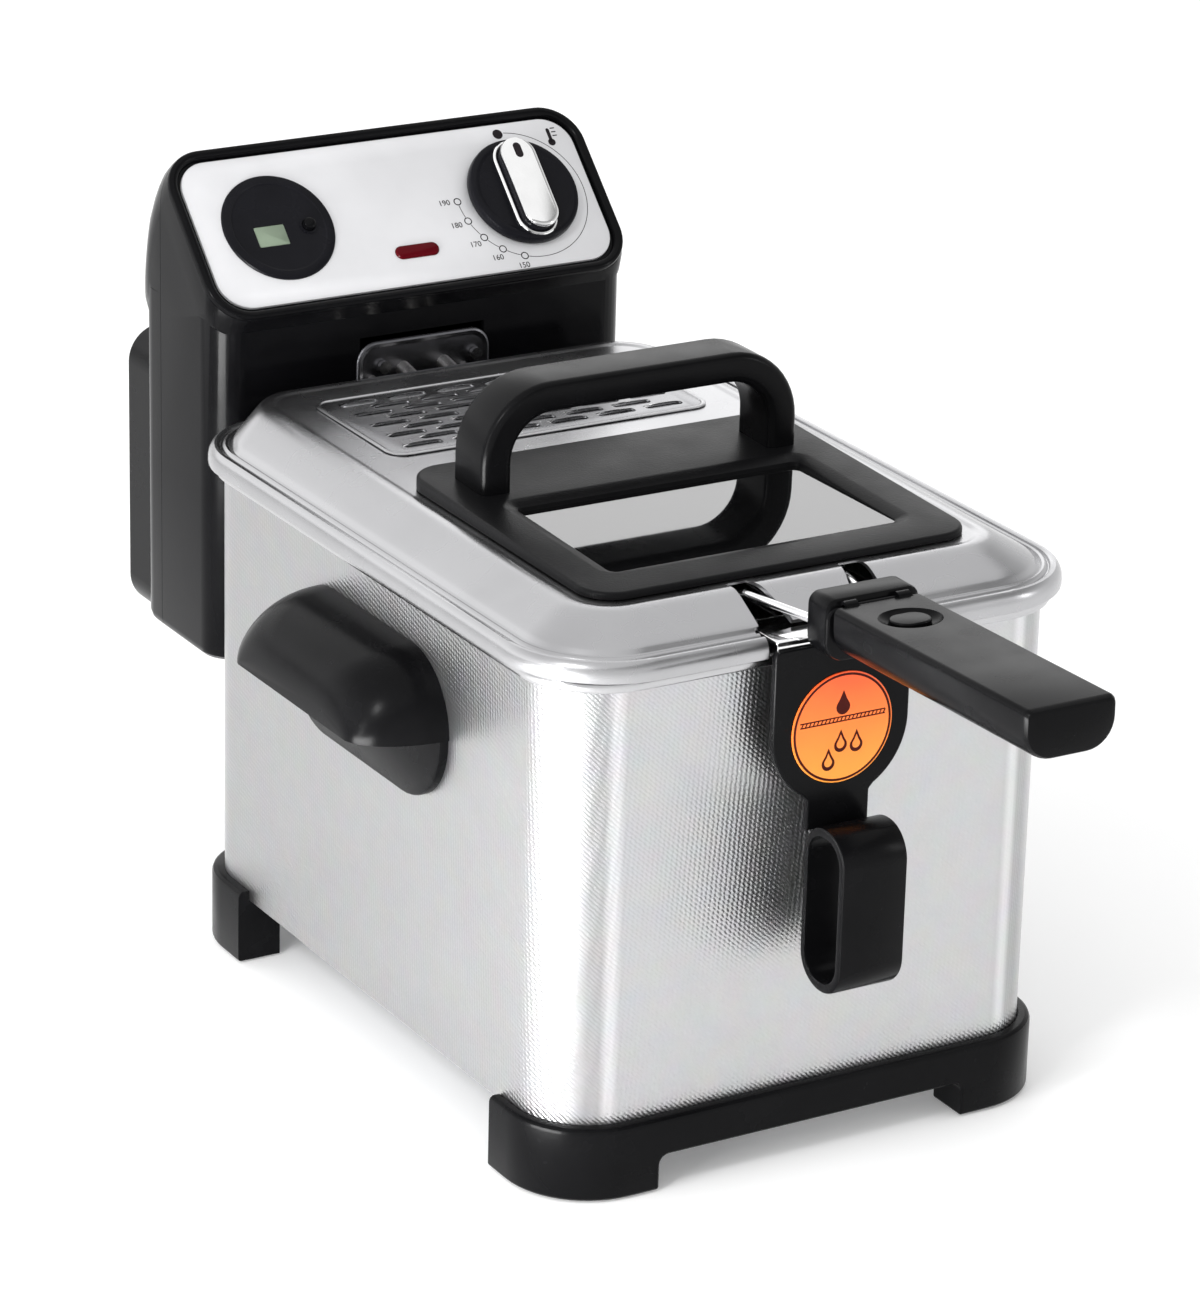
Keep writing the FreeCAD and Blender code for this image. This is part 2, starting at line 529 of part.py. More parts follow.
def head_outer(inset):
    """Head's outer form shrunk by inset: upright body with a leaning panel box on top."""
    x = HEAD_X - inset
    body = slab(-x, x, BODY_Y0 + inset, BODY_Y1 - inset, BODY_R - inset, BODY_Z0 + inset, BODY_Z1)
    back = [(154.4, 255.3), (212.0, 310.9), (219.5, 306.5), (230.5, 291.0), (237.0, 273.0),
            (238.0, 259.0), (234.5, 246.0), (229.6, 235.0), (200.0, 235.0), (159.5, 247.0)]
    face = Part.Face(Part.makePolygon([V(0, y, z) for y, z in back + back[:1]]))
    if inset:
        face = face.makeOffset2D(-inset)
        face = Part.Face(face.OuterWire) if hasattr(face, "OuterWire") else face
    top = face.extrude(V(2 * HEAD_X, 0, 0))
    top.translate(V(-HEAD_X, 0, 0))
    guide = slab(-x, x, -RIM_H / 2 - 60, RIM_H / 2 - inset, RIM_R - inset, -120, 10)
    guide.rotate(V(0, 0, 0), X_AXIS, PANEL_LEAN)
    guide.translate(V(0, PANEL_Y, PANEL_Z))
    plan = slab(-x, x, 120, 300, 30, 100, 400)
    return join(body, top.common(guide).common(plan))


def make_head(through_pieces):
    outer = head_outer(0)
    shell = outer.cut(head_outer(HEAD_WALL))
    wire_way = box(-12, 12, BODY_Y1 - HEAD_WALL - 1, BODY_Y1 + 1, 200, 212)
    shell = on_head(shell)
    pocket = slab(-PANEL_W / 2 - 0.3, PANEL_W / 2 + 0.3, -PANEL_H / 2 - 0.3, PANEL_H / 2 + 0.3,
                  PANEL_R + 0.3, PLATE_N0, 20)
    rim = ring(-RIM_W / 2, RIM_W / 2, -RIM_H / 2, RIM_H / 2, RIM_R, 4.7, -0.5, RIM_N)
    panel = slab(-PANEL_W / 2, PANEL_W / 2, -PANEL_H / 2, PANEL_H / 2, PANEL_R, PLATE_N0, PLATE_N1)
    backing = slab(-RIM_W / 2 + 1, RIM_W / 2 - 1, -RIM_H / 2 + 1, RIM_H / 2 - 1, RIM_R - 1,
                   PLATE_N0 - 2.4, PLATE_N0)
    shell = join(shell, on_panel(rim), on_panel(backing)).cut(on_panel(pocket))

    key_x, key_s, key_r = TIMER_KEY
    lamp_x, lamp_s, lamp_w, lamp_h = LAMP
    lamp = slab(lamp_x - lamp_w / 2, lamp_x + lamp_w / 2, lamp_s - lamp_h / 2, lamp_s + lamp_h / 2,
                lamp_h / 2 - 0.05, -8, 2.0)
    shaft_hole = rod(SHAFT_R + RUNNING_FIT, (KNOB_X, 0, -9), (KNOB_X, 0, 9))
    key_hole = rod(key_r + RUNNING_FIT, (key_x, key_s, -9), (key_x, key_s, 9))
    lcd = slab(-67.4, -53.5, -8.4, 1.2, 0.6, 0.2, 1.5)
    disc = rod(DIAL_R, (TIMER_X, 0, PLATE_N0), (TIMER_X, 0, 1.8))
    disc = disc.cut(key_hole).cut(lcd)
    panel = panel.cut(rod(DIAL_R, (TIMER_X, 0, -3), (TIMER_X, 0, 3))).cut(lamp).cut(shaft_hole)
    for hole in (lamp, shaft_hole, key_hole):
        shell = shell.cut(on_panel(hole))
    gland_hole = rod(7, (GLAND_X, GLAND_Y, BODY_Z0 - 1), (GLAND_X, GLAND_Y, BODY_Z0 + HEAD_WALL + 1))
    reset_hole = rod(RESET_R + RUNNING_FIT, (RESET_X, RESET_Y, BODY_Z0 - 1),
                     (RESET_X, RESET_Y, BODY_Z0 + HEAD_WALL + 1))
    shell = shell.cut(on_head(gland_hole)).cut(on_head(reset_hole)).cut(on_head(wire_way))

    for piece in through_pieces:
        shell = shell.cut(piece)
    ribs = [on_head(box(min(a, b), max(a, b), CASE_REAR + 4.0, BODY_Y0 + 0.5, 115, 198))
            for a, b in ((62.8, 66), (-62.8, -66))]
    seam = 208.0
    front = join(shell.common(box(-200, 200, 0, seam, 0, 400)), *ribs)
    rear = shell.common(box(-200, 200, seam, 400, 0, 400))
    save("head_front_shell", front)
    save("head_rear_cover", rear)
    save("control_panel", on_panel(panel))
    save("timer_disc", on_panel(disc))
    save("timer_display", on_panel(lcd))
    save("pilot_lamp", on_panel(lamp))
    save("timer_button", on_panel(rod(key_r, (key_x, key_s, -6), (key_x, key_s, 4.4))))
    make_knob()
    make_head_inside()


def make_knob():
    disc = rod(DIAL_R, (KNOB_X, 0, PLATE_N1 + 0.4), (KNOB_X, 0, 6.0))
    core = slab(KNOB_X - 7, KNOB_X + 7, -20.5, 20.5, 6.9, 6.0, 9.0)
    bar = slab(KNOB_X - 8, KNOB_X + 8, -21.5, 21.5, 7.9, 9.0, 11.5)
    shaft = rod(SHAFT_R, (KNOB_X, 0, -13), (KNOB_X, 0, 6.0))
    save("knob_body", on_panel(join(disc, core).cut(shaft)))
    save("knob_grip_insert", on_panel(bar))
    save("thermostat_shaft", on_panel(shaft))


def make_head_inside():
    unit = slab(KNOB_X - 18, KNOB_X + 18, -17, 17, 4, -34, -13.4)
    unit = join(unit, rod(6, (KNOB_X, 0, -13.4), (KNOB_X, 0, -8)))
    unit = unit.cut(rod(SHAFT_R + RUNNING_FIT, (KNOB_X, 0, -14), (KNOB_X, 0, 0)))
    save("thermostat_unit", on_panel(unit))
    board = slab(TIMER_X - 24, TIMER_X + 24, -22, 22, 2, -12, -10.4)
    save("timer_circuit_board", on_panel(board))
    save("terminal_block", on_head(box(-30, 30, 196, 214, 150, 166)))
    microswitch = on_head(box(-66, -46, BODY_Y0 + HEAD_WALL, 172, 130, 142))
    save("interlock_switch", microswitch)
    gland = rod(7, (GLAND_X, GLAND_Y, BODY_Z0), (GLAND_X, GLAND_Y, BODY_Z0 + HEAD_WALL))
    collar = rod(9, (GLAND_X, GLAND_Y, BODY_Z0 - 7), (GLAND_X, GLAND_Y, BODY_Z0))
    nut = rod(9, (GLAND_X, GLAND_Y, BODY_Z0 + HEAD_WALL), (GLAND_X, GLAND_Y, BODY_Z0 + HEAD_WALL + 3))
    bore = rod(GLAND_BORE, (GLAND_X, GLAND_Y, 90), (GLAND_X, GLAND_Y, 130))
    save("cord_gland", on_head(join(gland, collar, nut).cut(bore)))
    reset = join(rod(RESET_R, (RESET_X, RESET_Y, BODY_Z0 - 2.5), (RESET_X, RESET_Y, BODY_Z0 + 7)),
                 rod(RESET_R + 1.5, (RESET_X, RESET_Y, BODY_Z0 + HEAD_WALL + 0.2),
                     (RESET_X, RESET_Y, BODY_Z0 + HEAD_WALL + 1.4)))
    save("reset_button", on_head(reset))
    x, y1, z0, z1 = STORE_X, STORE_Y1, STORE_Z0, STORE_Z1
    store = turn_front(-x, x, z0, z1, 15, BODY_Y1, y1)
    hollow = turn_front(-x + 2.5, x - 2.5, z0 + 2.5, z1 - 2.5, 12.5, BODY_Y1 - 1, y1 - 2.5)
    mouth = box(-62, 62, BODY_Y1 + 3, y1 - 4, z0 - 1, z0 + 4)
    save("cord_store_box", on_head(store.cut(hollow).cut(mouth)))


def make_element():
    """Folded heating element with its legs over the rear rim, probes, seat plate and screws."""
    left, right = ELEMENT_X - LEG_GAP, ELEMENT_X + LEG_GAP
    z, y_wall, tip_y = ELEMENT_Z, BODY_Y0 + HEAD_SHIFT, -105.0
    leg_in = [(left, y_wall + 6, 226), (left, LEG_Y + 12, 222), (left, LEG_Y, 213), (left, LEG_Y, z)]
    loop = [(left, 96, z), (-70, 96, z), (-70, tip_y, z), (-36, tip_y, z), (-36, 62, z),
            (32, 62, z), (32, tip_y, z), (66, tip_y, z), (66, 96, z), (right, 96, z)]
    leg_out = [(right, y, height) for _, y, height in reversed(leg_in)]
    path = leg_in + loop + leg_out
    element = bent_tube(ELEMENT_R, path, 9.0)
    save("heating_element", element)
    probes = []
    for x, depth in ((ELEMENT_X - 24, 100), (ELEMENT_X + 19, 92)):
        probes.append(bent_tube(PROBE_R, [(x, y_wall + 6, 223), (x, LEG_Y + 12, 220), (x, LEG_Y, 212),
                                          (x, LEG_Y, depth)], 8.0))
    save("thermostat_probes", *probes)
    seat = turn_front(ELEMENT_X - SEAT_X, ELEMENT_X + SEAT_X, SEAT_Z0, SEAT_Z1, 11,
                      y_wall - 1.5, y_wall)
    screws = []
    for dx, height in ((-19, 227), (24, 227), (-19, 162), (24, 162)):
        x = ELEMENT_X + dx
        screws.append(join(rod(2, (x, y_wall - 1.5, height), (x, y_wall + HEAD_WALL, height)),
                           rod(2.7, (x, y_wall - 3.6, height), (x, y_wall - 1.5, height))))
    for piece in [element] + probes + screws:
        seat = seat.cut(piece)
    save("element_seat_plate", seat)
    save("element_seat_screws", *screws)
    clip = box(left - 6, right + 6, LEG_Y - 3.5, LEG_Y + 3.5, 118, 122)
    for piece in [element] + probes:
        clip = clip.cut(piece)
    save("element_leg_clip", clip)
    return [element] + probes + screws


make_casing()
make_foot_bars()
make_side_handles()
make_bowl()
make_filter_tray()
make_basket()
make_grip()
make_lid()
make_head(make_element())
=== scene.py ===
"""Deep fryer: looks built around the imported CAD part. Drawing sizes are in millimetres."""

import json
import math

import bmesh
import bpy
from mathutils import Matrix, Vector


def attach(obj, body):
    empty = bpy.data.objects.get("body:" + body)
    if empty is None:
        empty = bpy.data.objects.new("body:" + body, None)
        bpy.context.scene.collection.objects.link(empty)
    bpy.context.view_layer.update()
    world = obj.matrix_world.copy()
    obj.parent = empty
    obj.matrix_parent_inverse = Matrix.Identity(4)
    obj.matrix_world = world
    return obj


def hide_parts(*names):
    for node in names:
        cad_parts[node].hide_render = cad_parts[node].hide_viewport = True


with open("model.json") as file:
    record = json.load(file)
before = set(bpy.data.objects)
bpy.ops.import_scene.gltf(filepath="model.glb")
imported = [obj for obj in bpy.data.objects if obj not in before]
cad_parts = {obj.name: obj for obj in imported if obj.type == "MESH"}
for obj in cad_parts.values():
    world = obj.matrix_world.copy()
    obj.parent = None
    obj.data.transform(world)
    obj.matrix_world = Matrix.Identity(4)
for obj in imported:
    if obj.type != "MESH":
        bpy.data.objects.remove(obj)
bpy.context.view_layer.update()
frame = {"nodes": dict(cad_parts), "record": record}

MM = 0.001
SHIFT = 18.171079          # the drawing's origin lies this far behind the part's centre
LEAN = math.radians(44)    # lean of the control panel
SIN_L, COS_L = math.sin(LEAN), math.cos(LEAN)
LID_TILT = math.atan(2.5 / 273)
RISE = math.radians(1.5)   # the handle grip is tipped up by this much
PANEL_Y, PANEL_Z = 184.8, 283.1             # centre of the control panel's face
KNOB_X, TIMER_X, DIAL_R = 57.6, -56.0, 24.5
KEY_X, KEY_S = -42.9, -1.1                  # centre of the timer's key, across and up the panel
ELEMENT_X = -2.0                            # centre of the plate the element hangs on


# ------------------------------------------------------------------ mesh tools

def link(name, data):
    obj = bpy.data.objects.new(name, data)
    bpy.context.collection.objects.link(obj)
    return obj


def build(name, verts, faces, place=None, sharp=32):
    """Mesh object from points in drawing millimetres; place maps a point first."""
    if place:
        verts = [place(*v) for v in verts]
    mesh = bpy.data.meshes.new(name)
    mesh.from_pydata([(x * MM, (y + SHIFT) * MM, z * MM) for x, y, z in verts], [], faces)
    work = bmesh.new()
    work.from_mesh(mesh)
    bmesh.ops.remove_doubles(work, verts=work.verts, dist=1e-7)
    bmesh.ops.dissolve_degenerate(work, edges=work.edges, dist=1e-7)
    bmesh.ops.recalc_face_normals(work, faces=work.faces)
    work.to_mesh(mesh)
    work.free()
    obj = link(name, mesh)
    shade(obj, sharp)
    return obj


def shade(obj, sharp=32):
    obj.data.shade_smooth()
    obj.data.set_sharp_from_angle(angle=math.radians(sharp))


def loft(name, rings, loop=False, **kw):
    """Skin through rings of equal length; the ends are capped unless the rings form a loop."""
    n = len(rings[0])
    verts = [p for ring in rings for p in ring]
    faces = []
    for k in range(len(rings) - (0 if loop else 1)):
        a, b = k * n, (k + 1) % len(rings) * n
        faces += [(a + i, a + (i + 1) % n, b + (i + 1) % n, b + i) for i in range(n)]
    if not loop:
        faces += [tuple(range(n)), tuple(range((len(rings) - 1) * n, len(rings) * n))]
    return build(name, verts, faces, **kw)


def rect(x0, x1, y0, y1, r, n=8):
    """Rounded rectangle as (x, y) points."""
    r = max(r, 0.02)
    corners = ((x1 - r, y1 - r, 0), (x0 + r, y1 - r, 90), (x0 + r, y0 + r, 180), (x1 - r, y0 + r, 270))
    turns = [(cx, cy, math.radians(a + 90 * i / n)) for cx, cy, a in corners for i in range(n + 1)]
    return [(cx + r * math.cos(t), cy + r * math.sin(t)) for cx, cy, t in turns]


def two_radii(half, y0, y1, low, high, n=8):
    """Outline whose lower corners have one radius and whose upper corners another."""
    corners = ((half - high, y1 - high, 0, high), (-half + high, y1 - high, 90, high),
               (-half + low, y0 + low, 180, low), (half - low, y0 + low, 270, low))
    return [p for cx, cy, a, r in corners for p in arc(max(r, 0.1), a, a + 90, n, cx, cy)]


def arc(radius, a0, a1, n, cx=0.0, cy=0.0):
    return [(cx + radius * math.cos(math.radians(a0 + (a1 - a0) * i / n)),
             cy + radius * math.sin(math.radians(a0 + (a1 - a0) * i / n))) for i in range(n + 1)]


def at(outline, z):
    return [(x, y, z) for x, y in outline]


def inset_rings(x0, x1, y0, y1, r, steps, n=8):
    """Rings of one rounded rectangle; each step is (inset, height)."""
    return [at(rect(x0 + d, x1 - d, y0 + d, y1 - d, r - d, n), z) for d, z in steps]


def round_steps(z0, z1, low, high, n=4):
    """Steps (inset, height) of a block with rounded lower and upper edges."""
    quarter = [math.pi / 2 * i / n for i in range(n + 1)]
    steps = [(low * (1 - math.sin(a)), z0 + low * (1 - math.cos(a))) for a in quarter] if low else [(0, z0)]
    top = [(high * (1 - math.cos(a)), z1 - high * (1 - math.sin(a))) for a in quarter] if high else [(0, z1)]
    return steps + top


def block(name, x0, x1, y0, y1, r, z0, z1, low=0.5, high=0.5, n=8, **kw):
    """Rounded slab with softened edges."""
    return loft(name, inset_rings(x0, x1, y0, y1, r, round_steps(z0, z1, low, high), n), **kw)


def circle(radius, z, n=64, cx=0.0, cy=0.0):
    return [(cx + radius * math.cos(2 * math.pi * i / n), cy + radius * math.sin(2 * math.pi * i / n), z)
            for i in range(n)]


def turned(name, steps, n=64, cx=0.0, cy=0.0, **kw):
    """Solid of revolution about z from (radius, height) steps."""
    return loft(name, [circle(max(r, 0.02), z, n, cx, cy) for r, z in steps], **kw)


def tube(points, radius, sides=10, closed=False):
    """Verts and faces of a round tube through points, for joining into one mesh."""
    pts = [Vector(p) for p in points]
    count = len(pts)
    verts, faces, normal = [], [], None
    for i, p in enumerate(pts):
        ahead = pts[(i + 1) % count] if closed or i < count - 1 else p
        behind = pts[i - 1] if closed or i else p
        t = (ahead - behind).normalized()
        if normal is None:
            normal = t.orthogonal().normalized()
        normal = (normal - t * normal.dot(t)).normalized()
        side = t.cross(normal)
        for k in range(sides):
            a = 2 * math.pi * k / sides
            verts.append(tuple(p + (normal * math.cos(a) + side * math.sin(a)) * radius))
    for i in range(count if closed else count - 1):
        a, b = i * sides, (i + 1) % count * sides
        faces += [(a + k, a + (k + 1) % sides, b + (k + 1) % sides, b + k) for k in range(sides)]
    if not closed:
        faces += [tuple(range(sides)), tuple(range((count - 1) * sides, count * sides))]
    return verts, faces


def gather(name, parts, **kw):
    """One object from several (verts, faces) pairs."""
    verts, faces = [], []
    for v, f in parts:
        base = len(verts)
        verts += v
        faces += [tuple(base + i for i in face) for face in f]
    return build(name, verts, faces, **kw)


def smooth_path(corners, bend, n=6):
    """Polyline whose inner corners are rounded with the bend radius."""
    pts = [Vector(c) for c in corners]
    out = [pts[0]]
    for a, b, c in zip(pts, pts[1:], pts[2:]):
        u, v = (a - b).normalized(), (c - b).normalized()
        half = u.angle(v) / 2
        cut = min(bend / math.tan(half), (a - b).length * 0.49, (c - b).length * 0.49)
        for i in range(n + 1):
            t = i / n
            out.append((b + u * cut) * (1 - t) ** 2 + b * 2 * t * (1 - t) + (b + v * cut) * t ** 2)
    return out + [pts[-1]]


def cut(obj, *tools, sharp=32):
    """Take the tools' solids out of the object for good."""
    combine(obj, "DIFFERENCE", *tools)
    shade(obj, sharp)


def combine(obj, operation, *others):
    """Boolean with other objects, which are used up."""
    for other in others:
        mod = obj.modifiers.new("combine", "BOOLEAN")
        mod.operation, mod.solver, mod.object = operation, "EXACT", other
    mesh = evaluated_mesh(obj)
    obj.modifiers.clear()
    obj.data = mesh
    for other in others:
        bpy.data.objects.remove(other)


def evaluated_mesh(obj):
    return bpy.data.meshes.new_from_object(obj.evaluated_get(bpy.context.evaluated_depsgraph_get()))


def on_panel(x, s, n):
    return x, PANEL_Y + COS_L * s - SIN_L * n, PANEL_Z + SIN_L * s + COS_L * n


def panel_loft(name, outline, steps, **kw):
    """Skin on the control panel: outline(inset) at each (inset, height) step."""
    return loft(name, [[on_panel(x, s, n) for x, s in outline(d)] for d, n in steps], **kw)


def leaned(x, y, z):
    """From a level lid top to the real one, which falls towards the front."""
    dy, dz = y - 143.0, z - 229.0
    return x, 143.0 + dy * math.cos(LID_TILT) - dz * math.sin(LID_TILT), \
        229.0 + dy * math.sin(LID_TILT) + dz * math.cos(LID_TILT)


def tipped(x, y, z):
    """From a level handle grip to the tipped one."""
    dy, dz = y + 178.6, z - 233.0
    return x, -178.6 + dy * math.cos(RISE) + dz * math.sin(RISE), \
        233.0 - dy * math.sin(RISE) + dz * math.cos(RISE)


# ------------------------------------------------------------------ materials

def new_material(name, colour, metallic=0.0, roughness=0.4, **more):
    """Node material with its plain values on the shader's own sockets."""
    mat = bpy.data.materials.new(name)
    mat.use_nodes = True
    shader = mat.node_tree.nodes["Principled BSDF"]
    shader.inputs["Base Color"].default_value = (*colour, 1)
    shader.inputs["Metallic"].default_value = metallic
    shader.inputs["Roughness"].default_value = roughness
    for key, value in more.items():
        shader.inputs[key.replace("_", " ")].default_value = value
    return mat


def node(mat, kind, **values):
    made = mat.node_tree.nodes.new("ShaderNode" + kind)
    for key, value in values.items():
        if hasattr(made, key):
            setattr(made, key, value)
        else:
            made.inputs[key.replace("_", " ")].default_value = value
    return made


def wire(mat, source, target, out=0, into=0):
    mat.node_tree.links.new(source.outputs[out], target.inputs[into])


def vary(mat, noise_scale, low, high, stretch=(1, 1, 1)):
    """Noise drives the roughness between low and high; returns the noise node."""
    place = node(mat, "TexCoord")
    mapping = node(mat, "Mapping")
    mapping.inputs["Scale"].default_value = stretch
    noise = node(mat, "TexNoise", Scale=noise_scale, Detail=3.0)
    span = node(mat, "MapRange")
    span.inputs["From Min"].default_value, span.inputs["From Max"].default_value = 0.3, 0.7
    span.inputs["To Min"].default_value, span.inputs["To Max"].default_value = low, high
    wire(mat, place, mapping, "Object")
    wire(mat, mapping, noise)
    wire(mat, noise, span)
    wire(mat, span, mat.node_tree.nodes["Principled BSDF"], 0, "Roughness")
    return noise


def tint(mat, noise, dark, light):
    """Colour moves between dark and light with the noise."""
    ramp = node(mat, "ValToRGB")
    ramp.color_ramp.elements[0].position, ramp.color_ramp.elements[1].position = 0.3, 0.7
    ramp.color_ramp.elements[0].color = (*dark, 1)
    ramp.color_ramp.elements[1].color = (*light, 1)
    wire(mat, noise, ramp)
    wire(mat, ramp, mat.node_tree.nodes["Principled BSDF"], 0, "Base Color")


def bump(mat, source, strength, distance):
    """Relief from a texture; several calls stack up."""
    shader = mat.node_tree.nodes["Principled BSDF"]
    made = node(mat, "Bump", Strength=strength, Distance=distance)
    wire(mat, source, made, 0, "Height")
    old = shader.inputs["Normal"].links
    if old:
        mat.node_tree.links.new(old[0].from_socket, made.inputs["Normal"])
    wire(mat, made, shader, 0, "Normal")


def waves(mat, scale, rotation):
    """Fine parallel lines for brushed or woven metal."""
    place = node(mat, "TexCoord")
    mapping = node(mat, "Mapping")
    mapping.inputs["Rotation"].default_value = rotation
    lines = node(mat, "TexWave", Scale=scale, Distortion=2.0, Detail=2.0)
    lines.inputs["Detail Scale"].default_value = 2.0
    wire(mat, place, mapping, "Object")
    wire(mat, mapping, lines)
    return lines


def plastic(name, colour, roughness, grain=900.0, relief=0.15, spread=0.08):
    mat = new_material(name, colour, 0.0, roughness, Specular_IOR_Level=0.08)
    noise = vary(mat, 60.0, roughness - spread / 2, roughness + spread / 2)
    tint(mat, noise, tuple(c * 0.85 for c in colour), tuple(c * 1.15 for c in colour))
    fine = node(mat, "TexNoise", Scale=grain, Detail=2.0)
    wire(mat, node(mat, "TexCoord"), fine, "Object")
    bump(mat, fine, relief, 0.0003)
    return mat


def metal(name, colour, roughness, grain=(1, 1, 1), scale=300.0, relief=0.05, spread=0.08, **more):
    mat = new_material(name, colour, 1.0, roughness, **more)
    noise = vary(mat, scale, roughness - spread / 2, roughness + spread / 2, grain)
    tint(mat, noise, tuple(c * 0.96 for c in colour), tuple(min(c * 1.04, 1) for c in colour))
    bump(mat, noise, relief, 0.0002)
    return mat


def make_materials():
    m = {}
    casing = metal("steel_casing_finish", (0.66, 0.66, 0.67), 0.33, (1, 1, 1), 40.0, 0.02, 0.05)
    # Painted highlight and painted shade bands in the wrap's colour, set by which way each face points
    painted_corner_highlights(casing)
    for turn in (0.62, -0.62):
        bump(casing, waves(casing, 230.0, (turn, turn, turn)), 0.2, 0.0004)
    m["steel_casing"] = casing
    for name, *look in (("steel_lid", (0.44, 0.44, 0.45), 0.27, (1, 1, 1), 30.0, 0.0, 0.08),
                        ("steel_bowl", (0.50, 0.50, 0.51), 0.22, (1, 1, 10), 70.0, 0.02),
                        ("bright_steel", (0.88, 0.88, 0.88), 0.1, (1, 1, 1), 90.0, 0.01, 0.05),
                        ("wire", (0.85, 0.85, 0.86), 0.16, (1, 1, 1), 200.0, 0.03),
                        ("zinc_steel", (0.34, 0.35, 0.37), 0.38, (1, 1, 1), 120.0, 0.04, 0.15),
                        # grille_steel paints the grille plate darker than the bright steel of its own louvre
                        # lips: painted shade
                        ("grille_steel", (0.30, 0.30, 0.31), 0.26, (1, 1, 1), 60.0, 0.02),
                        ("dark_steel", (0.13, 0.13, 0.14), 0.3, (1, 1, 1), 90.0, 0.03),
                        ("element_sheath", (0.62, 0.61, 0.59), 0.28, (1, 1, 1), 90.0, 0.05, 0.15)):
        m[name] = metal(name + "_finish", *look)
    m["panel_silver"] = metal("panel_silver_finish", (0.70, 0.70, 0.715), 0.42, (1, 1, 1), 30.0, 0.01, 0.04,
                              Metallic=0.35)
    for name, *look in (("black_plastic", (0.0032, 0.0032, 0.0036), 0.25, 900.0, 0.06),
                        ("head_plastic", (0.0028, 0.0028, 0.0033), 0.18, 500.0, 0.05, 0.05),
                        ("frame_plastic", (0.0055, 0.0055, 0.006), 0.32, 1400.0, 0.35),
                        ("dial_plastic", (0.0065, 0.0065, 0.0085), 0.26, 700.0, 0.08),
                        ("pad_rubber", (0.02, 0.02, 0.02), 0.8, 700.0, 0.3),
                        ("gasket_rubber", (0.03, 0.03, 0.03), 0.7, 700.0, 0.3),
                        ("lamp_red", (0.075, 0.001, 0.004), 0.14, 300.0, 0.02, 0.04),
                        ("circuit_board", (0.01, 0.12, 0.05), 0.4),
                        ("terminal_ceramic", (0.75, 0.73, 0.68), 0.5),
                        ("display", (0.20, 0.25, 0.185), 0.15, 300.0, 0.01, 0.03)):
        m[name] = plastic(name + "_finish", *look)
    m["window_glass"] = window_glass()
    m["badge_orange"] = badge()
    m["ink"] = plastic("printed_ink", (0.015, 0.012, 0.014), 0.5)
    m["badge_ink"] = plastic("badge_ink", (0.05, 0.006, 0.004), 0.45)
    return m


def painted_corner_highlights(mat):
    """Painted highlight and painted shade: upright light and dark bands painted into the wrap's colour from
    which way each face points, bright near the corners and darker on the sides.
    """
    facing = node(mat, "NewGeometry")
    split = node(mat, "SeparateXYZ")
    size = node(mat, "Math", operation="ABSOLUTE")
    ramp = node(mat, "ValToRGB")
    noise = node(mat, "TexNoise", Scale=90.0, Detail=4.0)
    mix = node(mat, "Mix", data_type="RGBA", blend_type="MULTIPLY")
    mix.inputs["Factor"].default_value = 0.12
    # Brightness by how far a face turns to the sides: painted highlight bands near the corners, painted
    # shade between them and on the sides
    painted_light_stops = ((0.0, 0.56), (0.10, 0.54), (0.20, 0.70), (0.27, 0.68), (0.36, 0.44), (0.50, 0.42),
             (0.68, 0.56), (0.86, 0.55), (0.97, 0.46), (1.0, 0.43))
    for _ in painted_light_stops[2:]:
        ramp.color_ramp.elements.new(0.5)
    for element, (place, value) in zip(ramp.color_ramp.elements, painted_light_stops):
        element.position, element.color = place, (value, value, value * 1.012, 1)
    wire(mat, facing, split, "Normal")
    wire(mat, split, size, "X")
    wire(mat, size, ramp)
    wire(mat, node(mat, "TexCoord"), noise, "Object")
    wire(mat, ramp, mix, "Color", 6)
    wire(mat, noise, mix, "Color", 7)
    wire(mat, mix, mat.node_tree.nodes["Principled BSDF"], 2, "Base Color")


def window_glass():
    mat = new_material("window_glass_finish", (0.03, 0.031, 0.033), 0.0, 0.03,
                       Transmission_Weight=0.9, IOR=2.1)
    noise = vary(mat, 8.0, 0.02, 0.035)
    tint(mat, noise, (0.028, 0.029, 0.031), (0.036, 0.037, 0.039))
    return mat


def badge():
    """Orange print that turns from red-orange above to amber below."""
    mat = new_material("badge_orange_finish", (1.0, 0.2, 0.03), 0.0, 0.32)
    place = node(mat, "TexCoord")
    split = node(mat, "SeparateXYZ")
    span = node(mat, "MapRange")
    ramp = node(mat, "ValToRGB")
    noise = node(mat, "TexNoise", Scale=60.0)
    blend = node(mat, "Math", operation="MULTIPLY_ADD")
    blend.inputs[1].default_value = 0.006
    span.inputs["From Min"].default_value, span.inputs["From Max"].default_value = 0.158, 0.202
    ramp.color_ramp.elements[0].color = (1.0, 0.34, 0.03, 1)
    ramp.color_ramp.elements[1].color = (1.0, 0.10, 0.015, 1)
    wire(mat, place, split, "Object")
    wire(mat, place, noise, "Object")
    wire(mat, noise, blend)
    wire(mat, split, blend, "Z", 2)
    wire(mat, blend, span)
    wire(mat, span, ramp)
    wire(mat, ramp, mat.node_tree.nodes["Principled BSDF"], 0, "Base Color")
    return mat


MATERIALS = make_materials()


def finish_piece(obj, material, body, *nodes, slot=None):
    """Dress a piece, let it ride on a body and let it stand for CAD nodes."""
    obj.data.materials.clear()
    obj.data.materials.append(MATERIALS[material])
    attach(obj, body)
    if nodes:
        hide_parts(*nodes)
    return obj


# ------------------------------------------------------------------ casing, bowl and feet

def case_rect(grow, z, n=14):
    return at(rect(-110 - grow, 110 + grow, -147.5 - grow, 147.5 + grow, 29 + grow, n), z)


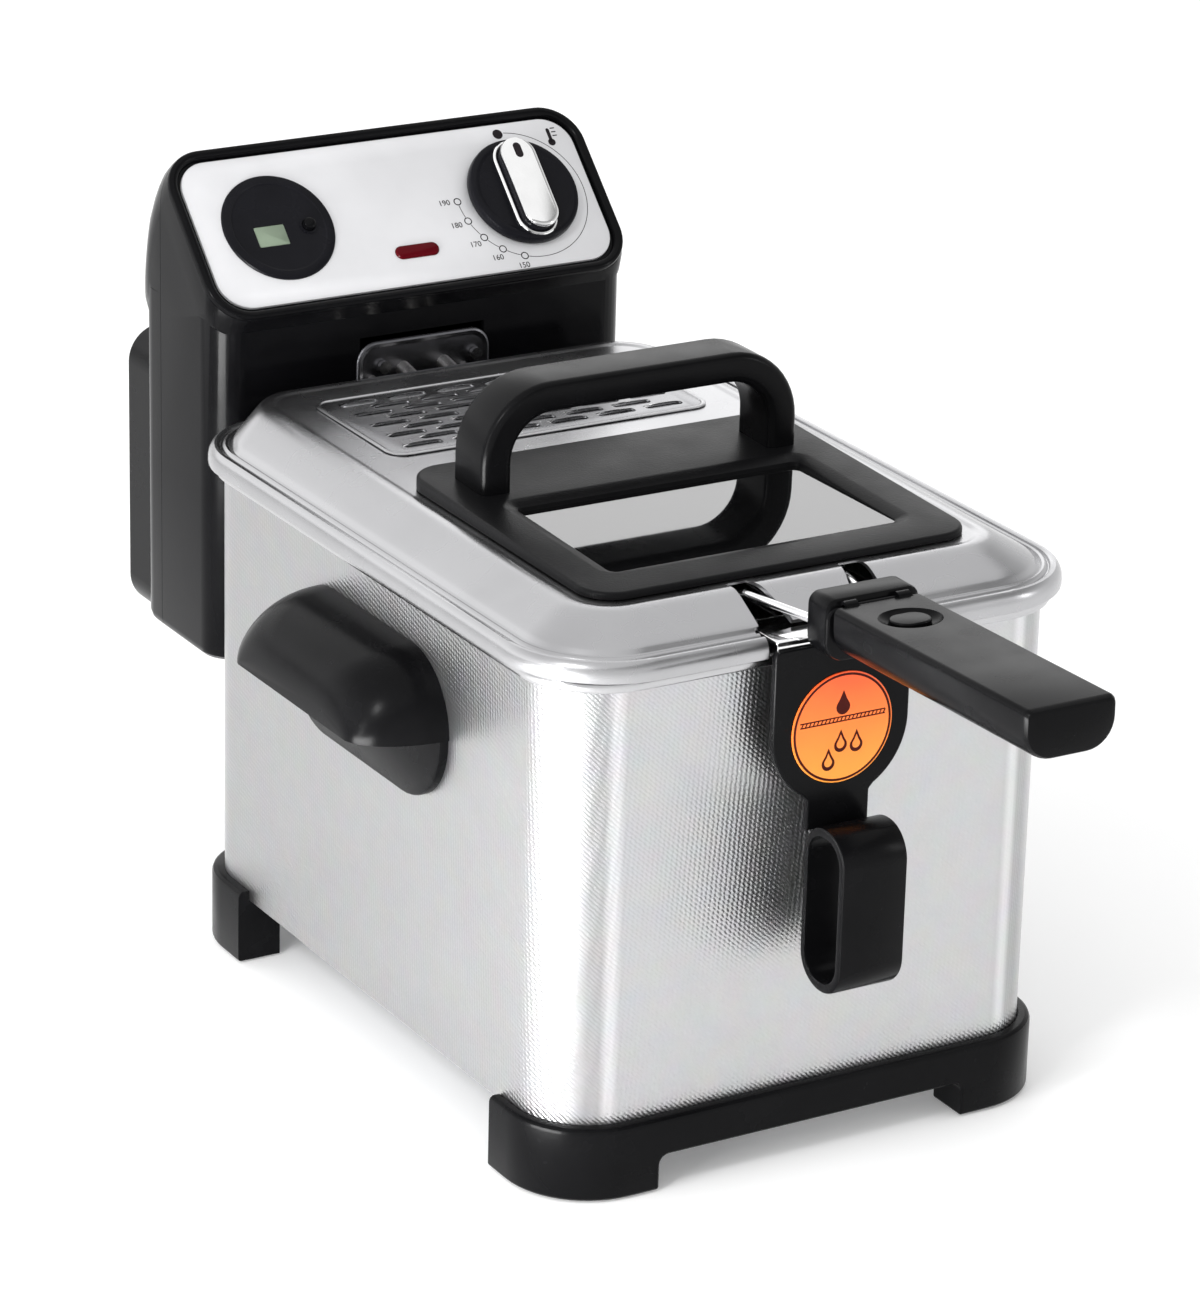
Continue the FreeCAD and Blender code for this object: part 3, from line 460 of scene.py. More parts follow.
def make_casing():
    steps = [(-0.3, 27.0), (0, 27.4), (0, 90.0), (0, 150.0), (0, 202.1), (-0.3, 202.5), (-0.7, 202.5),
             (-1.0, 202.1), (-1.0, 27.2)]
    casing = loft("casing_wrap", [case_rect(g, z) for g, z in steps], loop=True)
    finish_piece(casing, "steel_casing", "root", "outer_casing")


def make_bowl():
    """Drawn pot with a rounded foot, a flat flange and a rolled bead over the casing's edge."""
    def pot(grow, z):
        return at(rect(-100 - grow, 100 + grow, -136 - grow, 136 + grow, 36 + grow, 14), z)

    quarter = [math.radians(15 * i) for i in range(7)]
    rings = [pot(-12 + 12 * math.sin(a), 72 - 12 * math.cos(a)) for a in quarter]
    rings += [pot(0, 206.4), pot(0.6, 206.9)]
    rings += [case_rect(g, z) for g, z in ((1.2, 206.9), (1.4, 206.5), (1.4, 203.6), (1.9, 203.05),
                                          (2.6, 203.0), (3.2, 203.3), (3.55, 204.0), (3.6, 205.6),
                                          (3.3, 206.8), (2.6, 207.6), (1.6, 208.0))]
    rings += [pot(1.8, 208.0), pot(0.4, 207.7), pot(-0.6, 206.9), pot(-1.0, 205.6)]
    rings += [pot(-13 + 12 * math.sin(a), 73 - 12 * math.cos(a)) for a in reversed(quarter)]
    finish_piece(loft("bowl_pressing", rings), "steel_bowl", "bowl", "oil_bowl")


def foot_bar(name, node, top, y0, y1, gap, side):
    """Bar under the casing's edge with two corner feet and a rounded arch between them."""
    outer = [at(rect(-115 + d, 115 - d, -153 + d, 153 - d, 34 - d, 14), z) for d, z in
             ((1.2, 0.8), (0.35, 1.15), (0, 2.0), (0, top - 2.2), (0.5, top - 0.9), (1.6, top - 0.1),
              (2.2, top))]
    bar = loft(name, outer)
    pocket = loft("pocket", [case_rect(0.0, 27.0), case_rect(0.0, 60.0)])
    middle = block("middle", -96, 96, -133.5, 133.5, 16, -5, 60, 0, 0)
    arch = loft("arch", [[(x, y, z) for x, z in rect(-gap, gap, -40, 15, 4)] for y in (-200, 200)])
    core = block("core", -81, 81, -119, 119, 8, -5, 15, 0, 0)
    y_cut = block("y_cut", -150, 150, min(y1, side * -200), max(y1, side * -200), 0, -10, 80, 0, 0)
    cut(bar, pocket, middle, arch, core, y_cut)
    soften(bar, 0.8)
    return finish_piece(bar, "black_plastic", "root", node)


def soften(obj, width, angle=40, segments=2):
    """Rounded edges wherever two faces meet at more than the angle."""
    mod = obj.modifiers.new("soft_edges", "BEVEL")
    mod.width, mod.segments, mod.limit_method = width * MM, segments, "ANGLE"
    mod.angle_limit = math.radians(angle)
    return obj


def make_feet():
    foot_bar("front_foot_frame", "front_foot_bar", 30.0, -153, -105, 68, -1)
    foot_bar("rear_foot_frame", "rear_foot_bar", 31.5, 153, 103, 93, 1)
    for x, y in ((94, -128), (102, 126)):
        for side in (-1, 1):
            steps = [(6.6, 0), (7.6, 0.25), (8, 0.8), (8, 1.8), (7.8, 2.0)]
            pad = turned("foot_pad", steps, 40, side * x, y)
            finish_piece(pad, "pad_rubber", "root", "foot_pads")


# ------------------------------------------------------------------ carrying handles

def hood_line(reach, half, height, corner, n=14):
    """Arched line of the hood at one reach from the wall, open at its lower edge."""
    angles = [math.pi / 2 * i / n for i in range(n + 1)]
    line = [(-half + corner * (1 - math.cos(a)), math.sin(a)) for a in angles]
    line += [(-y, z) for y, z in reversed(line)]
    return [(110 + reach, y, 157 + height * z) for y, z in line]


def make_side_handle(side, word):
    """Domed hood, hollow for the fingers from below, on a rounded plate."""
    rings = []
    for i in range(0, 87, 6):
        a = math.radians(i)
        reach, half, height = 35 * math.sin(a), 62 - 20 * (1 - math.cos(a)), 29.5 * math.cos(a) ** 0.7
        room = max(0.0, 1 - (reach / 31.4) ** 2) ** 0.5
        inner = hood_line(reach, half - 3.6, (height - 3.6) * room, 27)
        rings.append(hood_line(reach, half, height, 30) + inner[::-1])
    hood = loft(word + "_handle_hood", rings)
    steps = [(0.7, 110.05), (0.7, 112.6), (1.1, 113.5), (2.0, 114.0)]
    plate = loft(word + "_handle_plate",
                 [[(x, y, z) for y, z in rect(-62 + d, 62 - d, 125.5 + d, 186.5 - d, 30 - d, 12)]
                  for d, x in steps])
    for obj in (hood, plate):
        if side < 0:
            obj.data.transform(Matrix.Scale(-1, 4, (1, 0, 0)))
            obj.data.flip_normals()
        finish_piece(obj, "black_plastic", "root", word + "_side_handle")


# ------------------------------------------------------------------ filter tray, tag and loop

def strip(name, path, thickness, x0, x1, bend=1.6, edge=0.25):
    """Sheet strip of constant width bent along a (y, z) path."""
    line = smooth_path([(0, y, z) for y, z in path], bend, 5)
    rings = []
    for i, p in enumerate(line):
        t = (line[min(i + 1, len(line) - 1)] - line[max(i - 1, 0)]).normalized()
        out = Vector((0, -t.z, t.y)) * (thickness / 2)
        rings.append([tuple(p + Vector((x, 0, 0)) + out * k) for x, k in
                      ((x0, 1 - edge), (x0 + edge, 1), (x1 - edge, 1), (x1, 1 - edge),
                       (x1, edge - 1), (x1 - edge, -1), (x0 + edge, -1), (x0, edge - 1))])
    return loft(name, rings)


def face_on(name, outline, y0, y1):
    """Plate whose (x, z) outline faces the front."""
    return loft(name, [[(x, y, z) for x, z in outline] for y in (y0, y1)])


def tag_outline():
    n = 40
    lower = [(29.5 * math.cos(a), 178 + 29.5 * math.sin(a)) for a in
             [math.pi + math.pi * i / n for i in range(n + 1)]]
    neck_a = math.pi + math.acos(13.5 / 29.5)
    left = [p for p in lower if p[0] < -14.5 and p[1] < 178.01]
    right = [p for p in lower if p[0] > 14.5 and p[1] < 178.01]
    start = 178 + 29.5 * math.sin(neck_a)
    neck = [(-13.5, start - 1.0), (-13.5, 138.7), (13.5, 138.7), (13.5, start - 1.0)]
    top = [(29.5, 209.5), (29.0, 211.2), (27.4, 212.0), (-27.4, 212.0), (-29.0, 211.2), (-29.5, 209.5)]
    return left + neck + right + top


def drop_outline(size):
    """Outline of an oil drop, its tip upwards, about its own centre."""
    arc = [(size * 0.5 * math.cos(math.radians(a)), size * 0.5 * math.sin(math.radians(a)) - size * 0.25)
           for a in range(-200, 21, 20)]
    return arc + [(size * 0.24, size * 0.3), (0, size * 0.85), (-size * 0.24, size * 0.3)]


def flat_ring(outer, inner, place, low, high):
    """Verts and faces of a flat band between two outlines of equal length, raised a little."""
    n = len(outer)
    verts = [place(x, s, h) for h in (low, high) for line in (outer, inner) for x, s in line]
    faces = []
    for i in range(n):
        j = (i + 1) % n
        faces += [(2 * n + i, 2 * n + j, 3 * n + j, 3 * n + i), (i, n + i, n + j, j),
                  (i, j, 2 * n + j, 2 * n + i), (n + i, 3 * n + i, 3 * n + j, n + j)]
    return verts, faces


def flat_patch(outline, place, low, high):
    n = len(outline)
    verts = [place(x, s, h) for h in (low, high) for x, s in outline]
    faces = [tuple(range(n)), tuple(range(n, 2 * n))]
    return verts, faces + [(i, (i + 1) % n, n + (i + 1) % n, n + i) for i in range(n)]


def round_line(radius, n=72, cx=0.0, cy=0.0):
    return arc(radius, 0, 360 - 360 / n, n - 1, cx, cy)


def on_badge(x, s, h):
    return x, -160.55 - h, 178 + s


def make_badge():
    disc = [[(x, y, 178 + s) for x, s in round_line(r)] for r, y in
            ((21.8, -160.0), (21.8, -160.4), (21.6, -160.55))]
    finish_piece(loft("badge_disc", disc), "badge_orange", "filter", "filter_badge")
    art = [flat_ring(round_line(21.2), round_line(20.3), on_badge, -0.1, 0.06)]
    art.append(flat_patch([(x, s + 9.5) for x, s in drop_outline(6.0)], on_badge, -0.1, 0.06))
    for x, s in ((-0.5, -5.6), (6.4, -6.6), (-5.6, -12.2)):
        outer = [(x + a, s + b) for a, b in drop_outline(5.6)]
        inner = [(x + a * 0.62, s + b * 0.62 - 0.15) for a, b in drop_outline(5.6)]
        art.append(flat_ring(outer, inner, on_badge, -0.1, 0.06))
    for row in (2.2, 3.9):
        bar = [(-18.5, row), (18.5, row), (18.5, row + 0.5), (-18.5, row + 0.5)]
        art.append(flat_patch(bar, on_badge, -0.1, 0.06))
    for i in range(22):
        x = -18.2 + 1.7 * i
        slash = [(x, 2.5), (x + 0.55, 2.5), (x + 1.35, 4.1), (x + 0.8, 4.1)]
        art.append(flat_patch(slash, on_badge, -0.1, 0.05))
    finish_piece(gather("badge_print", art), "badge_ink", "filter", slot="badge_orange")


def make_filter():
    path = [(-133.5, 88.0), (-133.5, 214.25), (-157.35, 214.25), (-157.35, 206.5)]
    strap = strip("strap_sheet", path, 1.5, -28, 28)
    foot = strip("strap_foot", [(-133.6, 80.75), (-127.2, 80.75)], 1.5, -28, 28)
    finish_piece(strap, "bright_steel", "filter", "filter_strap")
    finish_piece(foot, "bright_steel", "filter", "filter_strap")
    tag = soften(face_on("tag_plate", tag_outline(), -160.0, -156.65), 0.7, 30, 3)
    finish_piece(tag, "black_plastic", "filter", "filter_tag_plate")
    make_badge()
    steps = [(1.0, -14), (0.3, -13.7), (0, -13.0), (0, 13.0), (0.3, 13.7), (1.0, 14), (3.0, 14),
             (3.7, 13.7), (4.0, 13.0), (4.0, -13.0), (3.7, -13.7), (3.0, -14)]
    loop = loft("loop_handle_band",
                [[(x, y, z) for y, z in rect(-187 + d, -160.05 - d * 0.1 + (0 if d < 2 else -2.2),
                                             79.5 + d, 144.5 - d, 13 - d, 12)] for d, x in steps], loop=True)
    finish_piece(loop, "black_plastic", "filter", "filter_loop_handle")
    tray = [(0.6, 80.0), (0, 80.6), (0, 87.4), (0.6, 88.0), (6.4, 88.0), (7.0, 87.4), (7.0, 82.2),
            (10.0, 82.0), (10.0, 80.0)]
    rim = loft("filter_tray_rim", inset_rings(-88, 88, -128, 114, 26, tray, 10), loop=True)
    finish_piece(rim, "wire", "filter", "filter_tray_frame")
    make_filter_cloth()


def make_filter_cloth():
    """Woven mesh of the filter tray: two layers of fine flat wires."""
    parts = []
    for i in range(42):
        x = -79.0 + 158.0 * i / 41
        inset = 0 if abs(x) < 62 else 18 - math.sqrt(max(18 ** 2 - (abs(x) - 62) ** 2, 0))
        parts.append(tube([(x, -119.6 + inset, 82.75), (x, 105.6 - inset, 82.75)], 0.3, 5))
    for i in range(60):
        y = -119.0 + 224.0 * i / 59
        reach = min(y + 120, 106 - y)
        inset = 0 if reach > 18 else 18 - math.sqrt(max(18 ** 2 - (18 - reach) ** 2, 0))
        parts.append(tube([(-79.8 + inset, y, 82.35), (79.8 - inset, y, 82.35)], 0.3, 5))
    finish_piece(gather("filter_tray_weave", parts), "wire", "filter", "filter_tray_mesh")


# ------------------------------------------------------------------ basket and its folding handle

def make_basket():
    """Basket of crossing wires between the rim and a flat foot."""
    top, foot = (86.0, -122.0, 104.0, 196.0), (78.0, -112.0, 94.0, 97.0)

    def hoop(t, n=6):
        x, y0, y1, z = [f + (p - f) * t for f, p in zip(foot, top)]
        return [(a, b, z) for a, b in rect(-x + 0.8, x - 0.8, y0 + 0.8, y1 - 0.8, 16 + 4 * t, n)]

    parts = [tube(hoop(t / 17), 0.62, 6, closed=True) for t in range(18)]
    count = 132
    low, high = resample(hoop(0.0), count), resample(hoop(1.0), count)
    parts += [tube([a, b], 0.62, 6) for a, b in zip(low, high)]
    for i in range(25):
        x = -72.0 + 6.0 * i
        trim = max(abs(x) - 61.0, 0) * 0.9
        parts.append(tube([(x, -111.0 + trim, 97.9), (x, 93.0 - trim, 97.9)], 0.62, 6))
    for i in range(33):
        y = -105.0 + 6.0 * i
        trim = max(-95.0 - y, y - 77.0, 0) * 0.7
        parts.append(tube([(-77.0 + trim, y, 98.9), (77.0 - trim, y, 98.9)], 0.62, 6))
    finish_piece(gather("basket_wires", parts), "wire", "basket", "basket_mesh")
    rim_line = [(x, y, 197.85) for x, y in rect(-85, 85, -121, 103, 19, 8)]
    finish_piece(gather("basket_rim_wire", [tube(rim_line, 1.9, 12, closed=True)]), "wire", "basket",
                 "basket_rim")
    arms = []
    for side in (-1, 1):
        line = smooth_path([(side * 23, -121.2, 199.4), (side * 23, -121, 222), (side * 11.5, -166.7, 222)],
                           6, 8)
        arms.append(tube(line, 1.75, 14))
    finish_piece(gather("handle_wires", arms), "wire", "basket", "basket_handle_wires")


def resample(points, count):
    """Points at even distances along a closed line."""
    pts = [Vector(p) for p in points]
    steps = [(pts[(i + 1) % len(pts)] - p).length for i, p in enumerate(pts)]
    total, out, i, gone = sum(steps), [], 0, 0.0
    for k in range(count):
        want = total * k / count
        while gone + steps[i] < want:
            gone += steps[i]
            i += 1
        t = (want - gone) / max(steps[i], 1e-9)
        out.append(tuple(pts[i].lerp(pts[(i + 1) % len(pts)], t)))
    return out


def make_grip():
    rings = []
    for d, y in ((1.4, -179.45), (0.5, -179.7), (0, -180.4), (0, -220.0), (0, -260.0), (0, -298.6),
                 (0.25, -300.0), (0.8, -301.0), (1.7, -301.45)):
        line = two_radii(19 - d, 214.5 + d, 234 - d, 11.5 - d * 0.5, 2.4)
        rings.append([(x, y, z) for x, z in line])
    grip = loft("grip_body", rings, place=tipped)
    well = block("well", -8.2, 8.2, -207.2, -194.8, 6.1, 228.2, 240, 0, 0, place=tipped)
    ears = [block("ear_room", a, b, -181.6, -170, 0, 226, 240, 0, 0, place=tipped)
            for a, b in ((-14.4, -8.2), (8.2, 14.4))]
    dish = loft("dish", [[(x, -201.0 + 0.86 * y, z) for x, y, z in circle(max(r, 0.02), h, 48)]
                         for r, h in ((0, 231.2), (7, 232.0), (11.5, 233.6), (13.5, 236))])
    cut(grip, well, *ears, dish)
    finish_piece(grip, "black_plastic", "basket_handle", "basket_handle_grip")
    button = block("release_button", -8, 8, -207, -195, 5.9, 230.7, 233.9, 0, 0.7, place=tipped)
    finish_piece(button, "black_plastic", "handle_release", "handle_release_button")
    steps = ((0.9, -178.0, 232.9), (0.3, -177.6, 233.0), (0.1, -177.0, 233.0), (0.6, -176.6, 235.0),
             (0.1, -176.2, 235.8), (0, -175.4, 236.0), (0, -165.2, 236.0), (0.3, -164.4, 235.8),
             (1.0, -164.0, 235.2))
    collar = loft("handle_collar_block", [[(x, y, z) for x, z in two_radii(20 - d, 212 + d, top, 8, 4.4)]
                                          for d, y, top in steps])
    line = [(-175.0, 227.5), (-175.0, 233.0)] + arc(2.6, 0, 180, 10, -178.6, 233) + [(-181.2, 227.5)]
    parts = [flat_patch(line, lambda y, z, x: (x, y, z), *sorted((side * 8.6, side * 14.0)))
             for side in (-1, 1)]
    finish_piece(gather("collar_ears", parts), "black_plastic", "basket", "handle_collar")
    finish_piece(collar, "black_plastic", "basket", "handle_collar")


# ------------------------------------------------------------------ lid

def lid_ring(t, dz, inset=0.0, n=14):
    """Ring on the lid's slope: t runs from its foot (0) to the flat top's edge (1)."""
    def mix(a, b):
        return a + (b - a) * t

    line = rect(-mix(110, 92) + inset, mix(110, 92) - inset, mix(-147.7, -130) + inset,
                mix(145.2, 143) - inset, mix(33, 20) - inset, n)
    ring = []
    for x, y in line:
        z = 216 + 13 * t + dz
        lx, ly, lz = leaned(x, y, z)
        ring.append((x, mix(y, ly), mix(z, lz)))
    return ring


def lip_ring(inset, z, n=14):
    return at(rect(-119 + inset, 119 - inset, -156.7 + inset, 154.2 - inset, 42 - inset, n), z)


def window_cutter(name, x, y0, y1, r, z0, z1):
    return block(name, -x, x, y0, y1, r, z0, z1, 0, 0, place=leaned)


def make_lid_shell():
    under = [lid_ring(*step) for step in (
        (1.0, -1.3, 2.2), (0.9, -1.2, 1.0), (0.5, -1.1, 0.8), (0.1, -1.2, 1.0))]
    under += [lip_ring(*step) for step in (
        (8.4, 214.4), (4.2, 214.8), (2.0, 213.9), (1.2, 211.8), (1.1, 208.7))]
    over = [lip_ring(*step) for step in (
        (0.8, 208.4), (0.2, 208.6), (0, 209.2), (0, 211.6), (0.4, 213.6), (1.3, 215.2), (2.5, 216.2),
        (3.6, 216.35), (4.6, 215.9), (5.1, 215.0), (5.5, 215.0), (6.0, 215.9), (6.9, 216.4), (7.9, 216.1),
        (8.5, 215.2))]
    over += [lid_ring(*step) for step in (
        (0.01, -0.75), (0.05, -0.5), (0.1, 0.3), (0.16, 0.6), (0.3, 0.6), (0.55, 0.5), (0.75, 0.35),
        (0.86, 0.2), (0.93, -0.05), (0.98, -0.25), (1.0, -0.1, 1.2), (1.0, 0.0, 3.0), (1.0, -0.05, 4.2),
        (1.0, -0.45, 5.2), (1.0, -0.5, 6.4))]
    shell = loft("lid_pressing", under + over)
    tools = [window_cutter("window_hole", 68, -103, -21, 6, 220, 240),
             window_cutter("grille_hole", 65, 60, 116, 5, 220, 240),
             block("collar_gap", -30.8, 30.8, -200, -145, 2, 190, 217.4, 0, 0),
             block("rear_gap", -36, 32, 141.4, 200, 2, 190, 227.6, 0, 0)]
    for side in (-1, 1):
        line = [(20.0, -122.5), (29.0, -122.5), (28.6, -160.0), (10.4, -160.0), (13.6, -147.0),
                (17.0, -134.0)]
        tools.append(loft("wire_slot", [[(side * x, y, z) for x, y in line] for z in (205, 235)]))
    cut(shell, *tools)
    finish_piece(shell, "steel_lid", "lid", "lid_shell")


def make_grille():
    """Recessed plate with staggered slots, each under a small raised lip, inside a raised border."""
    plate = block("grille_plate", -71, 71, 54, 122, 6, 228.45, 229.15, 0, 0.2, place=leaned)
    slots, lips = [], []
    for row in range(9):
        y = 61.0 + 6.75 * row
        for i in range(6 - row % 2):
            x = -55 + 22 * i + 11 * (row % 2)
            line = rect(x - 8.5, x + 8.5, y - 2.2, y + 1.7, 1.9, 4)
            slots.append(flat_patch(line, leaned, 226.0, 231.0))
            lips.append(louvre(x, y))
    cut(plate, gather("slots", slots))
    # The plate is painted darker than its bright louvre lips, the same pressed steel, as painted shade
    finish_piece(plate, "grille_steel", "lid", "filter_grille", slot="bright_steel")
    finish_piece(gather("grille_louvres", lips), "bright_steel", "lid", slot="bright_steel")
    steps = [(0, 228.9), (0, 229.15), (0.5, 229.45), (1.1, 229.5), (1.7, 229.4), (2.1, 229.1), (2.3, 228.9)]
    border = loft("grille_border", inset_rings(-73, 73, 52, 124, 8, steps), loop=True, place=leaned)
    finish_piece(border, "steel_lid", "lid", slot="steel_lid")


def louvre(x, y):
    """Thin hood rising over the rear half of one slot."""
    n, verts, faces = 10, [], []
    for i in range(n + 1):
        u = -1 + 2 * i / n
        lift = (1 - u * u) ** 0.5
        for reach, height in ((2.1, 0.05), (1.6, 0.6), (0.9, 0.92), (0.2, 1.0)):
            for skin in (0.0, 0.3):
                verts.append(leaned(x + 8.7 * u, y + reach, 229.15 + lift * height - (0.3 - skin)))
    for i in range(n):
        a, b = i * 8, (i + 1) * 8
        for k in (0, 2, 4):
            faces += [(a + k + 1, a + k + 3, b + k + 3, b + k + 1), (a + k, b + k, b + k + 2, a + k + 2)]
        faces += [(a, a + 1, b + 1, b), (a + 6, b + 6, b + 7, a + 7)]
    for a in (0, n * 8):
        faces.append((a, a + 2, a + 4, a + 6, a + 7, a + 5, a + 3, a + 1))
    return verts, faces


def frame_top(y):
    return 229.2 + (y + 121) * 4.2 / 146


def make_window():
    def outer(d, drop):
        line = rect(-83.5 + d, 83.5 - d, -121 + d, 25 - d, 14 - d, 10)
        return [(x, y, frame_top(y) - drop) for x, y in line]

    def inner(d, drop):
        return [(x, y, max(frame_top(y) - drop, leaned(x, y, 229.0)[2] + 0.9 + 0.1 * (2 - drop / 2)))
                for x, y in rect(-63 - d, 63 + d, -98 - d, -26 + d, 3 + d, 10)]

    def seat(x0, y0, y1, r):
        return [leaned(x, y, 229.02) for x, y in rect(-x0, x0, y0, y1, r, 10)]

    rings = [seat(83.5, -121, 25, 14), outer(0, 1.3), outer(0.25, 0.6), outer(0.8, 0.15), outer(1.6, 0),
             inner(6.0, 0), inner(4.8, 0.15), inner(0.8, 1.5), inner(0.1, 1.9), seat(63, -98, -26, 3)]
    frame_obj = loft("window_surround", rings, loop=True)
    finish_piece(frame_obj, "frame_plastic", "lid", "window_frame")


def make_arch():
    """Carrying arch: a flat bar with rounded edges, bent over two legs."""
    n, line = 12, []
    for z in (0, 232, 238):
        line.append(((-70.5, z), (-57.5, z)))
    for i in range(n + 1):
        a = math.radians(180 - 90 * i / n)
        line.append(((-40.5 + 30 * math.cos(a), 243.5 + 30 * math.sin(a)),
                     (-39.5 + 18 * math.cos(a), 243.5 + 18 * math.sin(a))))
    line += [((-x0, z0), (-x1, z1)) for (x0, z0), (x1, z1) in reversed(line)]
    rings = []
    for (ox, oz), (ix, iz) in line:
        ring = []
        width = math.hypot(ox - ix, oz - iz)
        for a, y in rect(0, width, -14.5, 10, 3.2, 6):
            x, z = ox + (ix - ox) * a / width, oz + (iz - oz) * a / width
            ring.append((x, y, frame_top(y) + 0.05 if z < 200 else z))
        rings.append(ring)
    finish_piece(loft("lid_arch", rings), "black_plastic", "lid", "lid_handle")


# ------------------------------------------------------------------ control head

# Sections through the panel box, parallel to the panel: height, lower and upper edge, half
# width, upper corner radius
HEAD_SECTIONS = ((-0.6, -40.0, 40.0, 97.0, 18.0), (-3.0, -40.6, 41.0, 97.0, 18.5),
                 (-8.4, -41.9, 42.2, 97.0, 19.5), (-14.0, -39.0, 41.9, 97.0, 20.0),
                 (-20.0, -35.6, 41.0, 97.0, 20.5), (-28.0, -31.5, 39.1, 97.0, 21.5),
                 (-36.0, -27.0, 36.0, 97.0, 23.0), (-44.0, -22.4, 32.0, 96.8, 24.0),
                 (-50.0, -19.5, 27.8, 96.3, 23.0), (-56.0, -16.5, 22.0, 95.2, 19.0),
                 (-60.5, -14.4, 15.5, 93.4, 14.5), (-63.6, -13.0, 8.5, 90.5, 10.5),
                 (-65.4, -12.0, 2.5, 86.0, 7.0))


def head_solids(d):
    """The leaning panel box and the upright body, both shrunk by d."""
    box_rings = []
    for i, (n, low, high, x, r) in enumerate(HEAD_SECTIONS):
        under = min(18.0, max(13.0, 18 + n * 0.9), high - low - r - 2.5)
        line = two_radii(x - d, low + d, high - d, under - d * 0.6, r - d * 0.6, 10)
        box_rings.append([on_panel(a, s, n - (0 if i else d)) for a, s in line])
    rings = []
    foot = [(i, z + d) for i, z in ((5.0, 107.0), (2.6, 107.6), (0.8, 109.4), (0, 112.0))]
    for i, z in foot + [(0, 180.0), (0, 254.0 - d)]:
        e = d + i
        rings.append(at(rect(-96.94 + e, 96.94 - e, 159.6 + e, 231.6 - e, 14 - d - i * 0.5, 10), z))
    body = loft("body", rings)
    return loft("panel_box", box_rings), body


def panel_cutter(name, outline, low, high):
    return loft(name, [[on_panel(x, s, n) for x, s in outline] for n in (low, high)])


def make_head():
    seam = 209.6
    for part, node_name, y0, y1 in (("head_front", "head_front_shell", 100, seam),
                                    ("head_rear", "head_rear_cover", seam + 0.25, 320)):
        shell, body = head_solids(0.0)
        shell.name = part
        combine(shell, "UNION", body)
        combine(shell, "INTERSECT", block("keep", -150, 150, y0, y1, 0, 60, 360, 0, 0))
        tools = list(head_solids(2.6))
        if y0 < seam - 50:
            tools += [panel_cutter("shaft_hole", round_line(3.1, 32, KNOB_X), -14, 4),
                      panel_cutter("key_hole", round_line(2.9, 32, KEY_X, KEY_S), -12, 4),
                      block("element_way", ELEMENT_X - 29, ELEMENT_X + 29, 150, 170, 2, 222, 240, 0, 0),
                      turned("reset_hole", [(3.6, 100), (3.6, 112)], 32, 60.0, 195.6)]
        cut(shell, *tools, sharp=28)
        finish_piece(shell, "head_plastic", "control_head", node_name)
    make_rim()
    make_panel()
    make_knob()
    make_timer()


def make_rim():
    steps = [(0, -0.8), (0, 0.6), (0.3, 1.4), (1.0, 1.9), (1.9, 2.0), (3.0, 1.8), (3.7, 1.3), (4.1, 0.5),
             (4.3, -0.4), (4.3, -0.8)]
    rim = panel_loft("panel_rim", lambda d: rect(-97 + d, 97 - d, -40 + d, 40 - d, 18 - d, 12),
                     steps, loop=True)
    finish_piece(rim, "head_plastic", "control_head", slot="head_plastic")


def make_panel():
    steps = [(0.0, -0.75), (0.0, 0.2), (0.2, 0.6), (0.8, 0.8)]
    plate = panel_loft("silver_panel",
                       lambda d: rect(-91.6 + d, 91.6 - d, -34.6 + d, 34.6 - d, 13.6 - d, 12), steps)
    cut(plate, panel_cutter("dial_hole", round_line(DIAL_R + 0.1, 72, TIMER_X), -3, 3),
        panel_cutter("shaft_hole", round_line(3.1, 32, KNOB_X), -3, 3),
        panel_cutter("lamp_hole", rect(-9.1, 11.1, -22.4, -16.2, 3.05, 10), -3, 3))
    finish_piece(plate, "panel_silver", "control_head", "control_panel")
    lamp = panel_loft("lamp_lens", lambda d: rect(-9 + d, 11 - d, -22.3 + d, -16.3 - d, 2.98 - d, 10),
                      ((0, -7.9), (0, 1.2), (0.35, 1.75), (1.0, 2.0)))
    finish_piece(lamp, "lamp_red", "control_head", "pilot_lamp")
    make_print()


def on_print(x, s, h):
    return on_panel(x, s, 0.78 + h)


def make_print():
    """Temperature marks: small rings on a thin line, numerals, the off dot and a thermometer."""
    line_r = 30.0
    angles = (178.8, 197.4, 215.8, 233.3, 252.1)
    art = []
    for a in angles:
        x, s = KNOB_X + line_r * math.cos(math.radians(a)), line_r * math.sin(math.radians(a))
        art.append(flat_ring(round_line(1.75, 28, x, s), round_line(1.3, 28, x, s), on_print, -0.1, 0.06))
    gap = 3.6
    runs = [(a + gap, b - gap) for a, b in zip(angles, angles[1:])]
    runs.append((angles[-1] + gap, 444.0))
    for a, b in runs:
        n = max(4, int((b - a) / 3))
        outline = arc(line_r + 0.14, a, b, n, KNOB_X) + arc(line_r - 0.14, b, a, n, KNOB_X)
        art.append(flat_patch(outline, on_print, -0.1, 0.05))
    art.append(flat_patch(round_line(2.3, 32, 58.0, 29.6), on_print, -0.1, 0.06))
    art.append(flat_patch(round_line(1.7, 24, 81.6, 22.6), on_print, -0.1, 0.06))
    art.append(flat_patch(rect(80.8, 82.4, 22.6, 29.4, 0.79, 4), on_print, -0.1, 0.06))
    for s in (29.2, 27.4, 25.6):
        art.append(flat_patch(rect(83.0, 85.2, s - 0.25, s + 0.25, 0.2, 2), on_print, -0.1, 0.06))
    finish_piece(gather("panel_print", art), "ink", "control_head", slot="panel_silver")
    for a, word in zip(angles, ("190", "180", "170", "160", "150")):
        x, s = KNOB_X + 36.2 * math.cos(math.radians(a)), 34.6 * math.sin(math.radians(a))
        numeral(word, x, s, 3.6)


